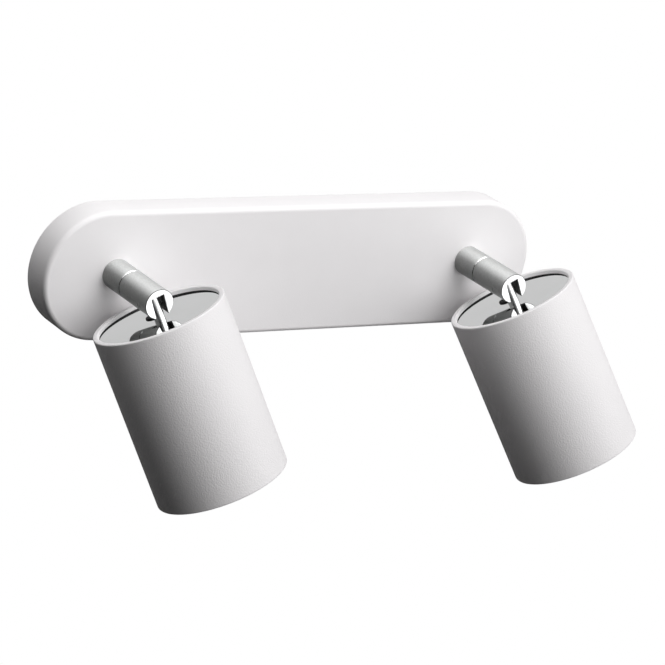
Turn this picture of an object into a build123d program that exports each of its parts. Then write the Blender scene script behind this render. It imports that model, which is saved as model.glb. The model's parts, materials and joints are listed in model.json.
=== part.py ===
from build123d import *
import os
from math import degrees, hypot, sqrt

# Twin wall spotlight bar: an obround cover on the wall carries two arms, and each arm carries a
# tubular lamp head on a swivel and a forked tilt hinge. Millimetres, +Z up, the wall at Y = 0 and
# the room towards -Y. The origin is the middle of the wall screw pattern on the wall.

# Pose of the heads: swivel from hanging towards +X, tilt from hanging towards the room
left_swivel = 24.4
left_tilt = 15.5
right_swivel = 26.9
right_tilt = 17.5

# Base cover
cover_height = 60.0
cover_depth = 15.3
cover_wall = 1.2
cover_edge_radius = 2.2
arm_inset = 35.3
arm_rise = 1.5
cover_screw_spacing = 90.0
cover_screw_radius = 1.75
cover_screw_length = 5.5
cover_screw_head_radius = 2.9

# Wall bracket
bracket_thickness = 1.5
bracket_height = 36.0
bracket_corner = 5.0
bracket_margin = 9.0
wall_screw_spacing = 120.0
wall_slot_length = 12.0
wall_slot_width = 5.0
tab_width = 12.0
tab_bend = 0.6
cable_hole_radius = 8.0
grommet_bore = 5.5
grommet_flange_width = 2.0
grommet_flange_height = 1.2

# Mains terminals and earth
pole_pitch = 8.0
block_depth = 15.0
block_headroom = 1.3
block_corner = 1.0
block_gap = 0.3
block_notch_length = 3.75
barrel_radius = 2.2
barrel_bore = 1.5
barrel_inset = 1.0
barrel_drop = 0.3
clamp_screw_radius = 1.3
clamp_screw_offset = 4.2
clamp_screw_length = 3.7
clamp_screw_bite = 0.65
fixing_screw_radius = 1.3
fixing_head_radius = 2.3
fixing_head_height = 1.6
fixing_seat_gap = 0.4
earth_offset = 28.0
earth_screw_radius = 2.0
earth_head_radius = 3.6
earth_head_height = 2.4
earth_washer_radius = 4.6
earth_washer_thickness = 0.8

# Arm: fixed stub, turning sleeve and the swivel between them
arm_radius = 6.85
stub_length = 14.65
seam_chamfer = 0.15
end_chamfer = 0.3
spigot_radius = 5.0
wire_bore = 2.6
lock_washer_thickness = 0.8
lock_washer_width = 3.2
lock_washer_teeth = 12
tooth_notch = 1.0
stub_nut_flats = 14.0
stub_nut_thickness = 3.0
spigot_overrun = 1.0
swivel_washer_thickness = 0.3
swivel_washer_width = 0.8
swivel_bolt_radius = 4.0
swivel_bolt_engagement = 8.5
swivel_bolt_head_width = 1.4
swivel_bolt_head_height = 2.0
driver_slot = 1.2
fine_driver_slot = 0.6
fine_slot_depth = 0.7
sleeve_web = 3.15
friction_spring_height = 0.6
friction_spring_sheet = 0.4
stop_pin_radius = 0.5
stop_pin_seat = 3.0
stop_groove_depth = 1.2
swivel_limit = 165.0

# Tilt hinge
fork_reach = 6.2
slot_width = 6.3
tongue_thickness = 3.6
tongue_eye_radius = 3.4
tongue_edge = 1.4
hinge_pin_radius = 1.5
foot_length = 25.0
foot_width = 8.0
foot_corner = 2.0
foot_thickness = 2.0
foot_stud_spacing = 17.0

# Head tube and rear disc
lamp_radius = 25.0
lamp_gap = 3.5
tube_wall = 1.5
head_length = 81.5
lip_step = 1.0
lip_height = 1.7
rim_round = 0.6
seal_thickness = 0.5
seal_setback = 0.3
disc_thickness = 1.2
disc_edge_chamfer = 0.25
stud_radius = 1.5
stud_overrun = 0.8
stud_nut_flats = 5.5
stud_nut_thickness = 2.4
retaining_ring_thickness = 1.0
retaining_ring_width = 1.9
retaining_groove_depth = 0.5
retaining_ring_opening = 12.0
bush_radius = 2.6
bush_bore = 1.8
bush_flange_width = 0.7
bush_flange_height = 0.6
bush_sleeve_length = 1.5
bush_gap = 0.6

# Lamp holder on its bracket
strip_thickness = 1.2
strip_width = 14.0
strip_foot = 8.0
strip_bend = 0.6
strip_rise = 6.1
holder_radius = 13.5
holder_height = 16.0
holder_edge = 1.0
holder_screw_radius = 1.5
holder_screw_spacing = 17.0
holder_screw_head_radius = 2.6
holder_screw_head_height = 1.8
holder_screw_recess = 4.0
holder_screw_overrun = 0.8

# Lamp with a twist-lock base
lamp_length = 46.5
lamp_neck_radius = 15.0
lamp_neck_length = 9.0
lamp_rim_length = 7.0
lamp_rim_width = 2.2
lens_recess = 2.0
lens_thickness = 1.2
lens_crown = 0.6
contact_spacing = 10.0
contact_neck_radius = 1.6
contact_head_radius = 2.5
contact_length = 7.5
contact_head_length = 2.5
twist_angle = 25.0

# Clearances
wall_clearance = 2.1
swing_gap = 1.0
rim_clearance = 0.3
corner_clearance = 0.3
slot_clearance = 0.35
running_clearance = 0.05
thread_clearance = 0.02
press_clearance = 0.01
hole_clearance = 0.2
cover_fit = 0.3
disc_fit = 0.2
contact_clearance = 0.4
cut_over = 1.0

# The head is as wide as its lamp, the gap round it and the tube's wall
bore_radius = lamp_radius + lamp_gap
head_radius = bore_radius + tube_wall
lip_radius = bore_radius - lip_step
disc_radius = bore_radius - disc_fit

# Heights along the arm, from the cover's face towards the room
pivot_out = head_radius + wall_clearance
arm_length = pivot_out + fork_reach
slot_floor = pivot_out - tongue_eye_radius - slot_clearance
slot_top = tongue_eye_radius + slot_clearance
sleeve_base = stub_length + swivel_washer_thickness + running_clearance
web_top = sleeve_base + sleeve_web
bolt_head_base = web_top + friction_spring_height + running_clearance
bolt_head_top = bolt_head_base + swivel_bolt_head_height
bolt_bottom = stub_length - swivel_bolt_engagement
bolt_head_radius = swivel_bolt_radius + swivel_bolt_head_width
chamber_radius = bolt_head_radius + hole_clearance
lock_washer_face = -cover_wall - lock_washer_thickness
stub_nut_face = lock_washer_face - stub_nut_thickness
spigot_end = stub_nut_face - spigot_overrun
lock_washer_radius = spigot_radius + hole_clearance + lock_washer_width

# The stop pin runs in a groove outside the swivel washer
swivel_washer_inner = swivel_bolt_radius + 2 * running_clearance
swivel_washer_outer = swivel_washer_inner + swivel_washer_width
groove_width = 2 * (stop_pin_radius + 2 * running_clearance)
stop_circle = swivel_washer_outer + running_clearance + groove_width / 2

# Heights along the head, from the hinge pin towards the lamp's mouth. The rear rim passes beside
# the arm, and the rear disc passes under the corners of the fork.
fork_edge_height = sqrt(arm_radius**2 - (slot_width / 2) ** 2)
fork_corner = hypot(fork_reach, fork_edge_height)
disc_drop = lip_height + seal_thickness
rim_out = max(arm_radius + rim_clearance, fork_corner + corner_clearance - disc_drop)
lip_under = rim_out + lip_height
disc_rear = lip_under + seal_thickness
disc_front = disc_rear + disc_thickness
mouth = rim_out + head_length
foot_front = disc_front + foot_thickness
strip_rear = disc_front + strip_rise
holder_rear = strip_rear + strip_thickness
holder_front = holder_rear + holder_height
lamp_front = holder_front + lamp_length
lens_seat = lamp_front - lens_recess

# The strip's feet end inside the retaining ring
ring_inner = bore_radius - retaining_ring_width
strip_end = sqrt((ring_inner - hole_clearance) ** 2 - (strip_width / 2) ** 2)
strip_leg = strip_end - strip_foot
foot_stud_places = [(-foot_stud_spacing / 2, 0), (foot_stud_spacing / 2, 0)]
strip_stud_offset = strip_end - strip_foot / 2 + strip_thickness / 2
strip_stud_places = [(0, -strip_stud_offset), (0, strip_stud_offset)]
bush_offset = foot_width / 2 + bush_gap + bush_radius

# The arms stand as far apart as two heads that point at each other need
swing_radius = hypot(mouth, head_radius)
arm_spacing = 2 * swing_radius + swing_gap
cover_length = arm_spacing + 2 * arm_inset

# Inside of the cover
inner_half_height = cover_height / 2 - cover_wall
inner_edge_radius = max(cover_edge_radius - cover_wall, cover_wall / 4)
tab_face = inner_half_height - cover_fit
tab_height = cover_depth - cover_wall - inner_edge_radius
cover_screw_out = (bracket_thickness + tab_height) / 2
bracket_length = wall_screw_spacing + wall_slot_length + 2 * bracket_margin
grommet_flange_radius = cable_hole_radius + grommet_flange_width
block_width = 3 * pole_pitch
block_middle = grommet_flange_radius + block_gap + block_width / 2
block_top = cover_depth - cover_wall - block_headroom
pole_places = [block_middle - pole_pitch, block_middle, block_middle + pole_pitch]
barrel_out = (bracket_thickness + block_top) / 2 - barrel_drop
fixing_place = block_middle - pole_pitch / 2
fixing_seat = barrel_out + barrel_radius + fixing_seat_gap

# Frames of the fixed base, with local Z towards the room and local Y up, and of each arm and head
base_frame = Location(Plane(origin=(0, 0, 0), x_dir=(1, 0, 0), z_dir=(0, -1, 0)))
sides = {
    "left": (-1, left_swivel, left_tilt),
    "right": (1, right_swivel, right_tilt),
}


def arm_frame(side):
    """Middle of the arm's foot on the cover's face."""
    hand = sides[side][0]
    return base_frame * Pos(hand * arm_spacing / 2, arm_rise, cover_depth)


def swivel_frame(side):
    """The arm's foot, turned with the sleeve."""
    return arm_frame(side) * Rot(0, 0, sides[side][1])


def head_frame(side):
    """The hinge pin's middle, with local Z along the head towards its mouth."""
    return swivel_frame(side) * Pos(0, 0, pivot_out) * Rot(90 - sides[side][2], 0, 0)


# Shapes that several pieces use
def rod(radius, low, high):
    """A round bar along Z."""
    return Pos(0, 0, (low + high) / 2) * Cylinder(radius, high - low)


def ring(outer, inner, low, high):
    """A flat ring about Z."""
    return rod(outer, low, high) - rod(inner, low - cut_over, high + cut_over)


def block(x_low, x_high, y_low, y_high, z_low, z_high):
    """A box between two corners."""
    middle = Pos((x_low + x_high) / 2, (y_low + y_high) / 2, (z_low + z_high) / 2)
    return middle * Box(x_high - x_low, y_high - y_low, z_high - z_low)


def cross_rod(radius, x_low, x_high):
    """A round bar along X."""
    return Pos((x_low + x_high) / 2, 0, 0) * Rot(0, 90, 0) * Cylinder(radius, x_high - x_low)


def hex_nut(flats, bore, low, high):
    """A hexagon nut about Z, its corners turned off at both ends."""
    hexagon = RegularPolygon(flats / 2, 6, major_radius=False)
    corner = flats / sqrt(3)
    turned_bar = chamfer(rod(corner, low, high).edges().filter_by(GeomType.CIRCLE), corner - flats / 2)
    nut = (Pos(0, 0, low) * extrude(hexagon, high - low)) & turned_bar
    return nut - rod(bore, low - cut_over, high + cut_over)


def driver_cut(head_radius, width, low):
    """The slot across a screw head, from its floor upwards."""
    reach = head_radius + cut_over
    return block(-reach, reach, -width / 2, width / 2, low, low + 2 * cut_over)


def countersunk(head_radius, shank_radius, length):
    """A bar that hangs down Z from a flat conical head."""
    neck = shank_radius - head_radius
    points = [(0, 0), (head_radius, 0), (shank_radius, neck), (shank_radius, -length), (0, -length)]
    return turned(points, [])


def turned(points, rounds):
    """A solid turned about Z from an outline of radius and height, some corners rounded."""
    outline = make_face(Polyline(*points, close=True))
    for place, radius in rounds:
        corner = outline.vertices().sort_by_distance((place[0], place[1], 0))[0]
        outline = fillet(corner, radius)
    return revolve(Plane.XZ * outline, Axis.Z)


def group(shapes):
    """Separate solids that share one node."""
    return Compound([solid for shape in shapes for solid in shape.solids()])


# Base cover and its screws
def cover_screw_place(hand):
    """Where a cover screw enters the underside, with local Z outwards."""
    return Pos(hand * cover_screw_spacing / 2, -cover_height / 2, cover_screw_out) * Rot(90, 0, 0)


def make_cover():
    outer = extrude(SlotOverall(cover_length, cover_height), cover_depth)
    outer = fillet(outer.faces().sort_by(Axis.Z)[-1].edges(), cover_edge_radius)
    hollow_depth = cover_depth - cover_wall
    hollow = extrude(SlotOverall(cover_length - 2 * cover_wall, 2 * inner_half_height), hollow_depth)
    hollow = fillet(hollow.faces().sort_by(Axis.Z)[-1].edges(), inner_edge_radius)
    cover = outer - hollow
    arm_hole = rod(spigot_radius + hole_clearance, 0, cover_depth + cut_over)
    sink_radius = cover_screw_head_radius + press_clearance
    screw_hole = countersunk(sink_radius, cover_screw_radius + hole_clearance, cover_wall + cut_over)
    for hand in (-1, 1):
        cover -= Pos(hand * arm_spacing / 2, arm_rise, 0) * arm_hole
        cover -= cover_screw_place(hand) * screw_hole
    return cover


def make_cover_screws():
    screw = countersunk(cover_screw_head_radius, cover_screw_radius, cover_screw_length)
    screw -= driver_cut(cover_screw_head_radius, fine_driver_slot, -fine_slot_depth)
    return group([cover_screw_place(hand) * screw for hand in (-1, 1)])


# Wall bracket with four folded tabs, and the grommet in its cable hole
def make_tab():
    inner_edge = bracket_height / 2 - bracket_corner
    inside = tab_face - bracket_thickness
    outline = make_face(
        Polyline(
            (inner_edge, 0),
            (tab_face, 0),
            (tab_face, tab_height),
            (inside, tab_height),
            (inside, bracket_thickness),
            (inner_edge, bracket_thickness),
            close=True,
        )
    )
    outer_corner = outline.vertices().sort_by_distance((tab_face, 0, 0))[0]
    outline = fillet(outer_corner, tab_bend + bracket_thickness)
    inner_corner = outline.vertices().sort_by_distance((inside, bracket_thickness, 0))[0]
    outline = fillet(inner_corner, tab_bend)
    return extrude(Plane.YZ * outline, tab_width / 2, both=True)


def make_bracket():
    strip = RectangleRounded(bracket_length, bracket_height, bracket_corner)
    strip -= Circle(cable_hole_radius)
    strip -= Pos(-earth_offset, 0) * Circle(earth_screw_radius + thread_clearance)
    strip -= Pos(fixing_place, 0) * Circle(fixing_screw_radius + thread_clearance)
    slot = SlotOverall(wall_slot_length, wall_slot_width)
    for hand in (-1, 1):
        strip -= Pos(hand * wall_screw_spacing / 2, 0) * slot
    bracket = extrude(strip, bracket_thickness)
    upper_tab = make_tab()
    screw_hole = Rot(90, 0, 0) * rod(cover_screw_radius + thread_clearance, 0, cover_height)
    lower_tab = mirror(upper_tab, Plane.XZ) - Pos(0, 0, cover_screw_out) * screw_hole
    for hand in (-1, 1):
        place = Pos(hand * cover_screw_spacing / 2, 0, 0)
        bracket += place * upper_tab
        bracket += place * lower_tab
    return bracket


def make_grommet():
    sleeve_radius = cable_hole_radius - press_clearance
    flange_top = bracket_thickness + grommet_flange_height
    sleeve = rod(sleeve_radius, running_clearance, flange_top)
    flange = rod(grommet_flange_radius, bracket_thickness, flange_top)
    flange = fillet(flange.faces().sort_by(Axis.Z)[-1].edges(), grommet_flange_height / 2)
    return sleeve + flange - rod(grommet_bore, -cut_over, flange_top + cut_over)


# Terminal block with its brass barrels and screws, and the earth terminal
def upright_rod(radius, length):
    """A round bar along local Y, through the middle."""
    return Rot(90, 0, 0) * Cylinder(radius, length)


def make_terminal_block():
    left = block_middle - block_width / 2
    right = block_middle + block_width / 2
    half = block_depth / 2
    body = block(left, right, -half, half, bracket_thickness, block_top)
    body = fillet(body.edges().filter_by(Axis.Z), block_corner)
    notch = upright_rod((block_top - fixing_seat) / 2, 2 * block_notch_length)
    for place in (left + pole_pitch, right - pole_pitch):
        for hand in (-1, 1):
            body -= Pos(place, hand * half, block_top) * notch
    clamp_hole = rod(clamp_screw_radius + hole_clearance, barrel_out, block_top + cut_over)
    for place in pole_places:
        body -= Pos(place, 0, barrel_out) * upright_rod(barrel_radius + press_clearance, 2 * block_depth)
        for hand in (-1, 1):
            body -= Pos(place, hand * clamp_screw_offset, 0) * clamp_hole
    fixing_hole = rod(fixing_screw_radius + thread_clearance, 0, block_top + cut_over)
    fixing_hole += rod(fixing_head_radius + hole_clearance, fixing_seat, block_top + cut_over)
    return body - Pos(fixing_place, 0, 0) * fixing_hole


def make_terminal_barrels():
    length = block_depth - 2 * barrel_inset
    barrel = upright_rod(barrel_radius, length) - upright_rod(barrel_bore, 2 * length)
    for hand in (-1, 1):
        barrel -= Pos(0, hand * clamp_screw_offset, 0) * rod(
            clamp_screw_radius + thread_clearance, 0, barrel_radius + cut_over
        )
    return group([Pos(place, 0, barrel_out) * barrel for place in pole_places])


def make_clamp_screws():
    tip = barrel_out + barrel_bore - clamp_screw_bite
    top = tip + clamp_screw_length
    screw = rod(clamp_screw_radius, tip, top)
    screw -= driver_cut(clamp_screw_radius, fine_driver_slot, top - fine_slot_depth)
    screws = []
    for place in pole_places:
        for hand in (-1, 1):
            screws.append(Pos(place, hand * clamp_screw_offset, 0) * screw)
    return group(screws)


def make_fixing_screw():
    screw = rod(fixing_screw_radius, running_clearance, fixing_seat)
    screw += rod(fixing_head_radius, fixing_seat, fixing_seat + fixing_head_height)
    return Pos(fixing_place, 0, 0) * screw


def make_earth_washer():
    low = bracket_thickness
    inner = earth_screw_radius + hole_clearance
    washer = ring(earth_washer_radius, inner, low, low + earth_washer_thickness)
    return Pos(-earth_offset, 0, 0) * washer


def make_earth_screw():
    seat = bracket_thickness + earth_washer_thickness
    head = rod(earth_head_radius, seat, seat + earth_head_height)
    head = fillet(head.faces().sort_by(Axis.Z)[-1].edges(), earth_head_height / 3)
    head -= driver_cut(earth_head_radius, driver_slot, seat + earth_head_height / 2)
    return Pos(-earth_offset, 0, 0) * (head + rod(earth_screw_radius, running_clearance, seat))


# Fixed part of the arm
def make_stub():
    stub = rod(arm_radius, 0, stub_length)
    stub = chamfer(stub.faces().sort_by(Axis.Z)[-1].edges(), seam_chamfer)
    stub += rod(spigot_radius, spigot_end, 0)
    stub -= rod(wire_bore, spigot_end - cut_over, stub_length)
    thread_end = bolt_bottom - hole_clearance
    stub -= rod(swivel_bolt_radius + thread_clearance, thread_end, stub_length + cut_over)
    pin_hole = rod(stop_pin_radius + press_clearance, stub_length - stop_pin_seat, stub_length + cut_over)
    return stub - Pos(0, stop_circle, 0) * pin_hole


def make_lock_washer():
    washer = ring(lock_washer_radius, spigot_radius + hole_clearance, lock_washer_face, -cover_wall)
    notch_depth = lock_washer_width / 2
    notch = block(-notch_depth, notch_depth, -tooth_notch / 2, tooth_notch / 2, lock_washer_face, -cover_wall)
    notches = [place * notch for place in PolarLocations(lock_washer_radius, lock_washer_teeth)]
    return washer - notches


def make_stub_nut():
    return hex_nut(stub_nut_flats, spigot_radius + thread_clearance, stub_nut_face, lock_washer_face)


def make_swivel_bolt():
    bolt = rod(swivel_bolt_radius, bolt_bottom, bolt_head_base)
    bolt += rod(bolt_head_radius, bolt_head_base, bolt_head_top)
    bolt -= rod(wire_bore, bolt_bottom - cut_over, bolt_head_top + cut_over)
    return bolt - driver_cut(bolt_head_radius, driver_slot, (bolt_head_base + bolt_head_top) / 2)


def make_swivel_washer():
    top = stub_length + swivel_washer_thickness
    return ring(swivel_washer_outer, swivel_washer_inner, stub_length, top)


def make_stop_pin():
    tip = sleeve_base + stop_groove_depth - hole_clearance
    return Pos(0, stop_circle, 0) * rod(stop_pin_radius, stub_length - stop_pin_seat, tip)


# Turning part of the arm: a sleeve that ends in the fork
def make_sleeve():
    sleeve = rod(arm_radius, sleeve_base, arm_length)
    sleeve = chamfer(sleeve.faces().sort_by(Axis.Z)[0].edges(), seam_chamfer)
    sleeve = chamfer(sleeve.faces().sort_by(Axis.Z)[-1].edges(), end_chamfer)
    sleeve -= rod(swivel_bolt_radius + running_clearance, sleeve_base - cut_over, web_top + cut_over)
    sleeve -= rod(chamber_radius, web_top, slot_floor)
    half = slot_width / 2
    sleeve -= block(-half, half, -arm_radius - cut_over, slot_top, slot_floor, arm_length + cut_over)
    pin_radius = hinge_pin_radius + press_clearance
    sleeve -= Pos(0, 0, pivot_out) * cross_rod(pin_radius, -arm_radius - cut_over, arm_radius + cut_over)
    pin_arc = degrees((stop_pin_radius + 2 * running_clearance) / stop_circle)
    groove_arc = 2 * (swivel_limit + pin_arc)
    profile = Pos(stop_circle, sleeve_base) * Rectangle(groove_width, 2 * stop_groove_depth)
    groove = revolve(Plane.XZ * profile, Axis.Z, revolution_arc=groove_arc)
    return sleeve - Rot(0, 0, 90 - groove_arc / 2) * groove


def make_friction_spring():
    inner = swivel_bolt_radius + hole_clearance
    cone = friction_spring_height - friction_spring_sheet
    outline = [
        (inner, web_top + cone),
        (bolt_head_radius, web_top),
        (bolt_head_radius, web_top + friction_spring_sheet),
        (inner, web_top + friction_spring_height),
    ]
    return turned(outline, [])


def make_hinge_pin():
    pin = Pos(0, 0, pivot_out) * cross_rod(hinge_pin_radius, -arm_radius, arm_radius)
    return pin & rod(arm_radius, 0, arm_length)


def make_hinge_washers():
    outer = slot_width / 2
    inner = tongue_thickness / 2 + running_clearance
    washer = cross_rod(tongue_eye_radius - slot_clearance, inner, outer)
    washer -= cross_rod(hinge_pin_radius + running_clearance, inner - cut_over, outer + cut_over)
    washer = Pos(0, 0, pivot_out) * washer
    return group([washer, mirror(washer, Plane.YZ)])


# Tongue of the tilt hinge, with a foot behind the rear disc
def make_tongue():
    half = tongue_thickness / 2
    profile = Circle(tongue_eye_radius)
    profile += Pos(0, foot_front / 2) * Rectangle(2 * tongue_eye_radius, foot_front)
    tongue = extrude(Plane.YZ * profile, half, both=True)
    side_faces = tongue.faces().filter_by(Axis.X)
    outline = [edge for edge in side_faces.edges() if edge.center().Z < foot_front - tongue_edge]
    tongue = fillet(outline, tongue_edge)
    foot = RectangleRounded(foot_length, foot_width, foot_corner)
    for place in foot_stud_places:
        foot -= Pos(*place) * Circle(stud_radius + hole_clearance)
    tongue += Pos(0, 0, disc_front) * extrude(foot, foot_thickness)
    return tongue - cross_rod(hinge_pin_radius + running_clearance, -half - cut_over, half + cut_over)


def make_rear_disc():
    disc = rod(disc_radius, disc_rear, disc_front)
    disc = chamfer(disc.faces().sort_by(Axis.Z)[0].edges(), disc_edge_chamfer)
    slot_x = tongue_thickness + 2 * running_clearance
    slot_y = 2 * (tongue_eye_radius + running_clearance)
    slot = RectangleRounded(slot_x, slot_y, tongue_edge + running_clearance)
    disc -= Pos(0, 0, disc_rear - cut_over) * extrude(slot, disc_thickness + 2 * cut_over)
    bush_hole = rod(bush_radius + press_clearance, disc_rear - cut_over, disc_front + cut_over)
    disc -= Pos(0, -bush_offset, 0) * bush_hole
    foot_stud = rod(stud_radius, disc_front, foot_front + stud_nut_thickness + stud_overrun)
    strip_stud_end = disc_front + strip_thickness + stud_nut_thickness + stud_overrun
    strip_stud = rod(stud_radius, disc_front, strip_stud_end)
    for place in foot_stud_places:
        disc += Pos(*place) * foot_stud
    for place in strip_stud_places:
        disc += Pos(*place) * strip_stud
    return disc


def make_stud_nuts():
    bore = stud_radius + thread_clearance
    foot_nut = hex_nut(stud_nut_flats, bore, foot_front, foot_front + stud_nut_thickness)
    strip_seat = disc_front + strip_thickness
    strip_nut = hex_nut(stud_nut_flats, bore, strip_seat, strip_seat + stud_nut_thickness)
    nuts = [Pos(*place) * foot_nut for place in foot_stud_places]
    nuts += [Pos(*place) * strip_nut for place in strip_stud_places]
    return group(nuts)


def make_wire_bush():
    flange_top = disc_rear - bush_flange_height
    sleeve_end = disc_front + bush_sleeve_length
    bush = rod(bush_radius, disc_rear, sleeve_end)
    bush += rod(bush_radius + bush_flange_width, flange_top, disc_rear)
    bush -= rod(bush_bore, flange_top - cut_over, sleeve_end + cut_over)
    return Pos(0, -bush_offset, 0) * bush


# Head tube with its inward lip, the dark seal under the lip and the ring that holds the disc up
def make_head_tube():
    groove_low = disc_front
    groove_high = disc_front + retaining_ring_thickness + 2 * running_clearance
    groove_radius = bore_radius + retaining_groove_depth
    outline = [
        (lip_radius, rim_out),
        (head_radius, rim_out),
        (head_radius, mouth),
        (bore_radius, mouth),
        (bore_radius, groove_high),
        (groove_radius, groove_high),
        (groove_radius, groove_low),
        (bore_radius, groove_low),
        (bore_radius, lip_under),
        (lip_radius, lip_under),
    ]
    soft = min(rim_round, tube_wall / 2 - running_clearance)
    return turned(outline, [(corner, soft) for corner in outline[:4]])


def make_seal_ring():
    return ring(bore_radius - running_clearance, lip_radius + seal_setback, lip_under, disc_rear)


def make_retaining_ring():
    outer = bore_radius + retaining_groove_depth - running_clearance
    high = disc_front + retaining_ring_thickness
    clip = ring(outer, ring_inner, disc_front, high)
    half = retaining_ring_opening / 2
    return clip - block(ring_inner / 2, outer + cut_over, -half, half, disc_front, high)


# Lamp holder hung from a folded strip
def make_holder_bracket():
    rear = disc_front
    outer_leg = strip_leg + strip_thickness
    right_side = [
        (strip_leg, strip_rear),
        (strip_leg, rear),
        (strip_end, rear),
        (strip_end, rear + strip_thickness),
        (outer_leg, rear + strip_thickness),
        (outer_leg, holder_rear),
    ]
    left_side = [(-across, along) for across, along in reversed(right_side)]
    outline = make_face(Polyline(*right_side, *left_side, close=True))
    inner_bends = [(strip_leg, strip_rear), (outer_leg, rear + strip_thickness)]
    outer_bends = [(strip_leg, rear), (outer_leg, holder_rear)]
    for bends, radius in ((inner_bends, strip_bend), (outer_bends, strip_bend + strip_thickness)):
        for across, along in bends:
            for hand in (-1, 1):
                corner = outline.vertices().sort_by_distance((hand * across, along, 0))[0]
                outline = fillet(corner, radius)
    strip = extrude(Plane.YZ * outline, strip_width / 2, both=True)
    stud_hole = rod(stud_radius + hole_clearance, rear - cut_over, rear + strip_thickness + cut_over)
    for place in strip_stud_places:
        strip -= Pos(*place) * stud_hole
    screw_hole = rod(holder_screw_radius + thread_clearance, strip_rear - cut_over, holder_rear + cut_over)
    for hand in (-1, 1):
        strip -= Pos(0, hand * holder_screw_spacing / 2, 0) * screw_hole
    return strip


def make_lamp_holder():
    body = rod(holder_radius, holder_rear, holder_front)
    body = fillet(body.faces().sort_by(Axis.Z)[0].edges(), holder_edge)
    contact_depth = contact_length + contact_clearance
    slot_height = 2 * (contact_head_radius + contact_clearance)
    circle = contact_spacing / 2
    for start in (0, 180):
        path = CenterArc((0, 0), circle, start, twist_angle)
        slot = Pos(0, 0, holder_front - contact_depth) * extrude(SlotArc(path, slot_height), contact_depth)
        body -= slot
    shank = rod(holder_screw_radius + hole_clearance, holder_rear - cut_over, holder_front + cut_over)
    seat = holder_front - holder_screw_recess
    recess = rod(holder_screw_head_radius + hole_clearance, seat, holder_front + cut_over)
    for hand in (-1, 1):
        body -= Pos(0, hand * holder_screw_spacing / 2, 0) * (shank + recess)
    return body


def make_holder_screws():
    seat = holder_front - holder_screw_recess
    screw = rod(holder_screw_radius, strip_rear - holder_screw_overrun, seat)
    screw += rod(holder_screw_head_radius, seat, seat + holder_screw_head_height)
    reach = holder_screw_spacing / 2
    return group([Pos(0, place, 0) * screw for place in (-reach, reach)])


# Lamp: turned body, lens and the two contacts of its base
def make_lamp_body():
    flare_start = (lamp_neck_radius, holder_front + lamp_neck_length)
    flare_end = (lamp_radius, lamp_front - lamp_rim_length)
    lens_edge = lamp_radius - lamp_rim_width
    outline = Polyline(
        flare_end,
        (lamp_radius, lamp_front),
        (lens_edge, lamp_front),
        (lens_edge, lens_seat),
        (0, lens_seat),
        (0, holder_front),
        (lamp_neck_radius, holder_front),
        flare_start,
    )
    flare = TangentArc(flare_end, flare_start, tangent=(0, -1))
    return revolve(Plane.XZ * make_face(outline + flare), Axis.Z)


def make_lamp_lens():
    edge = lamp_radius - lamp_rim_width - running_clearance
    top = lens_seat + lens_thickness
    outline = Polyline((0, top + lens_crown), (0, lens_seat), (edge, lens_seat), (edge, top))
    crown = TangentArc((0, top + lens_crown), (edge, top), tangent=(1, 0))
    return revolve(Plane.XZ * make_face(outline + crown), Axis.Z)


def make_lamp_contacts():
    tip = holder_front - contact_length
    contact = rod(contact_neck_radius, tip, holder_front)
    contact += rod(contact_head_radius, tip, tip + contact_head_length)
    reach = contact_spacing / 2
    return group([Pos(place, 0, 0) * contact for place in (-reach, reach)])


base_pieces = {
    "base_cover": make_cover,
    "cover_screws": make_cover_screws,
    "wall_bracket": make_bracket,
    "cable_grommet": make_grommet,
    "terminal_block": make_terminal_block,
    "terminal_barrels": make_terminal_barrels,
    "terminal_clamp_screws": make_clamp_screws,
    "terminal_fixing_screw": make_fixing_screw,
    "earth_washer": make_earth_washer,
    "earth_screw": make_earth_screw,
}
arm_pieces = {
    "arm_stub": make_stub,
    "lock_washer": make_lock_washer,
    "stub_nut": make_stub_nut,
    "swivel_bolt": make_swivel_bolt,
    "swivel_washer": make_swivel_washer,
    "stop_pin": make_stop_pin,
}
swivel_pieces = {
    "arm_sleeve": make_sleeve,
    "friction_spring": make_friction_spring,
    "hinge_pin": make_hinge_pin,
    "hinge_washers": make_hinge_washers,
}
head_pieces = {
    "hinge_tongue": make_tongue,
    "rear_disc": make_rear_disc,
    "stud_nuts": make_stud_nuts,
    "wire_bush": make_wire_bush,
    "head_tube": make_head_tube,
    "seal_ring": make_seal_ring,
    "retaining_ring": make_retaining_ring,
    "holder_bracket": make_holder_bracket,
    "lamp_holder": make_lamp_holder,
    "holder_screws": make_holder_screws,
    "lamp_body": make_lamp_body,
    "lamp_lens": make_lamp_lens,
    "lamp_contacts": make_lamp_contacts,
}

os.makedirs("parts", exist_ok=True)
for name, make in base_pieces.items():
    export_step(base_frame * make(), f"parts/{name}.step")
for frame, pieces in ((arm_frame, arm_pieces), (swivel_frame, swivel_pieces), (head_frame, head_pieces)):
    for name, make in pieces.items():
        piece = make()
        for side in sides:
            export_step(frame(side) * piece, f"parts/{name}_{side}.step")
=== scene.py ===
import json
from math import cos, hypot, pi, radians, sin

import bmesh
import bpy
from bpy.props import FloatProperty, FloatVectorProperty, IntProperty, PointerProperty
from mathutils import Matrix, Vector


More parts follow.
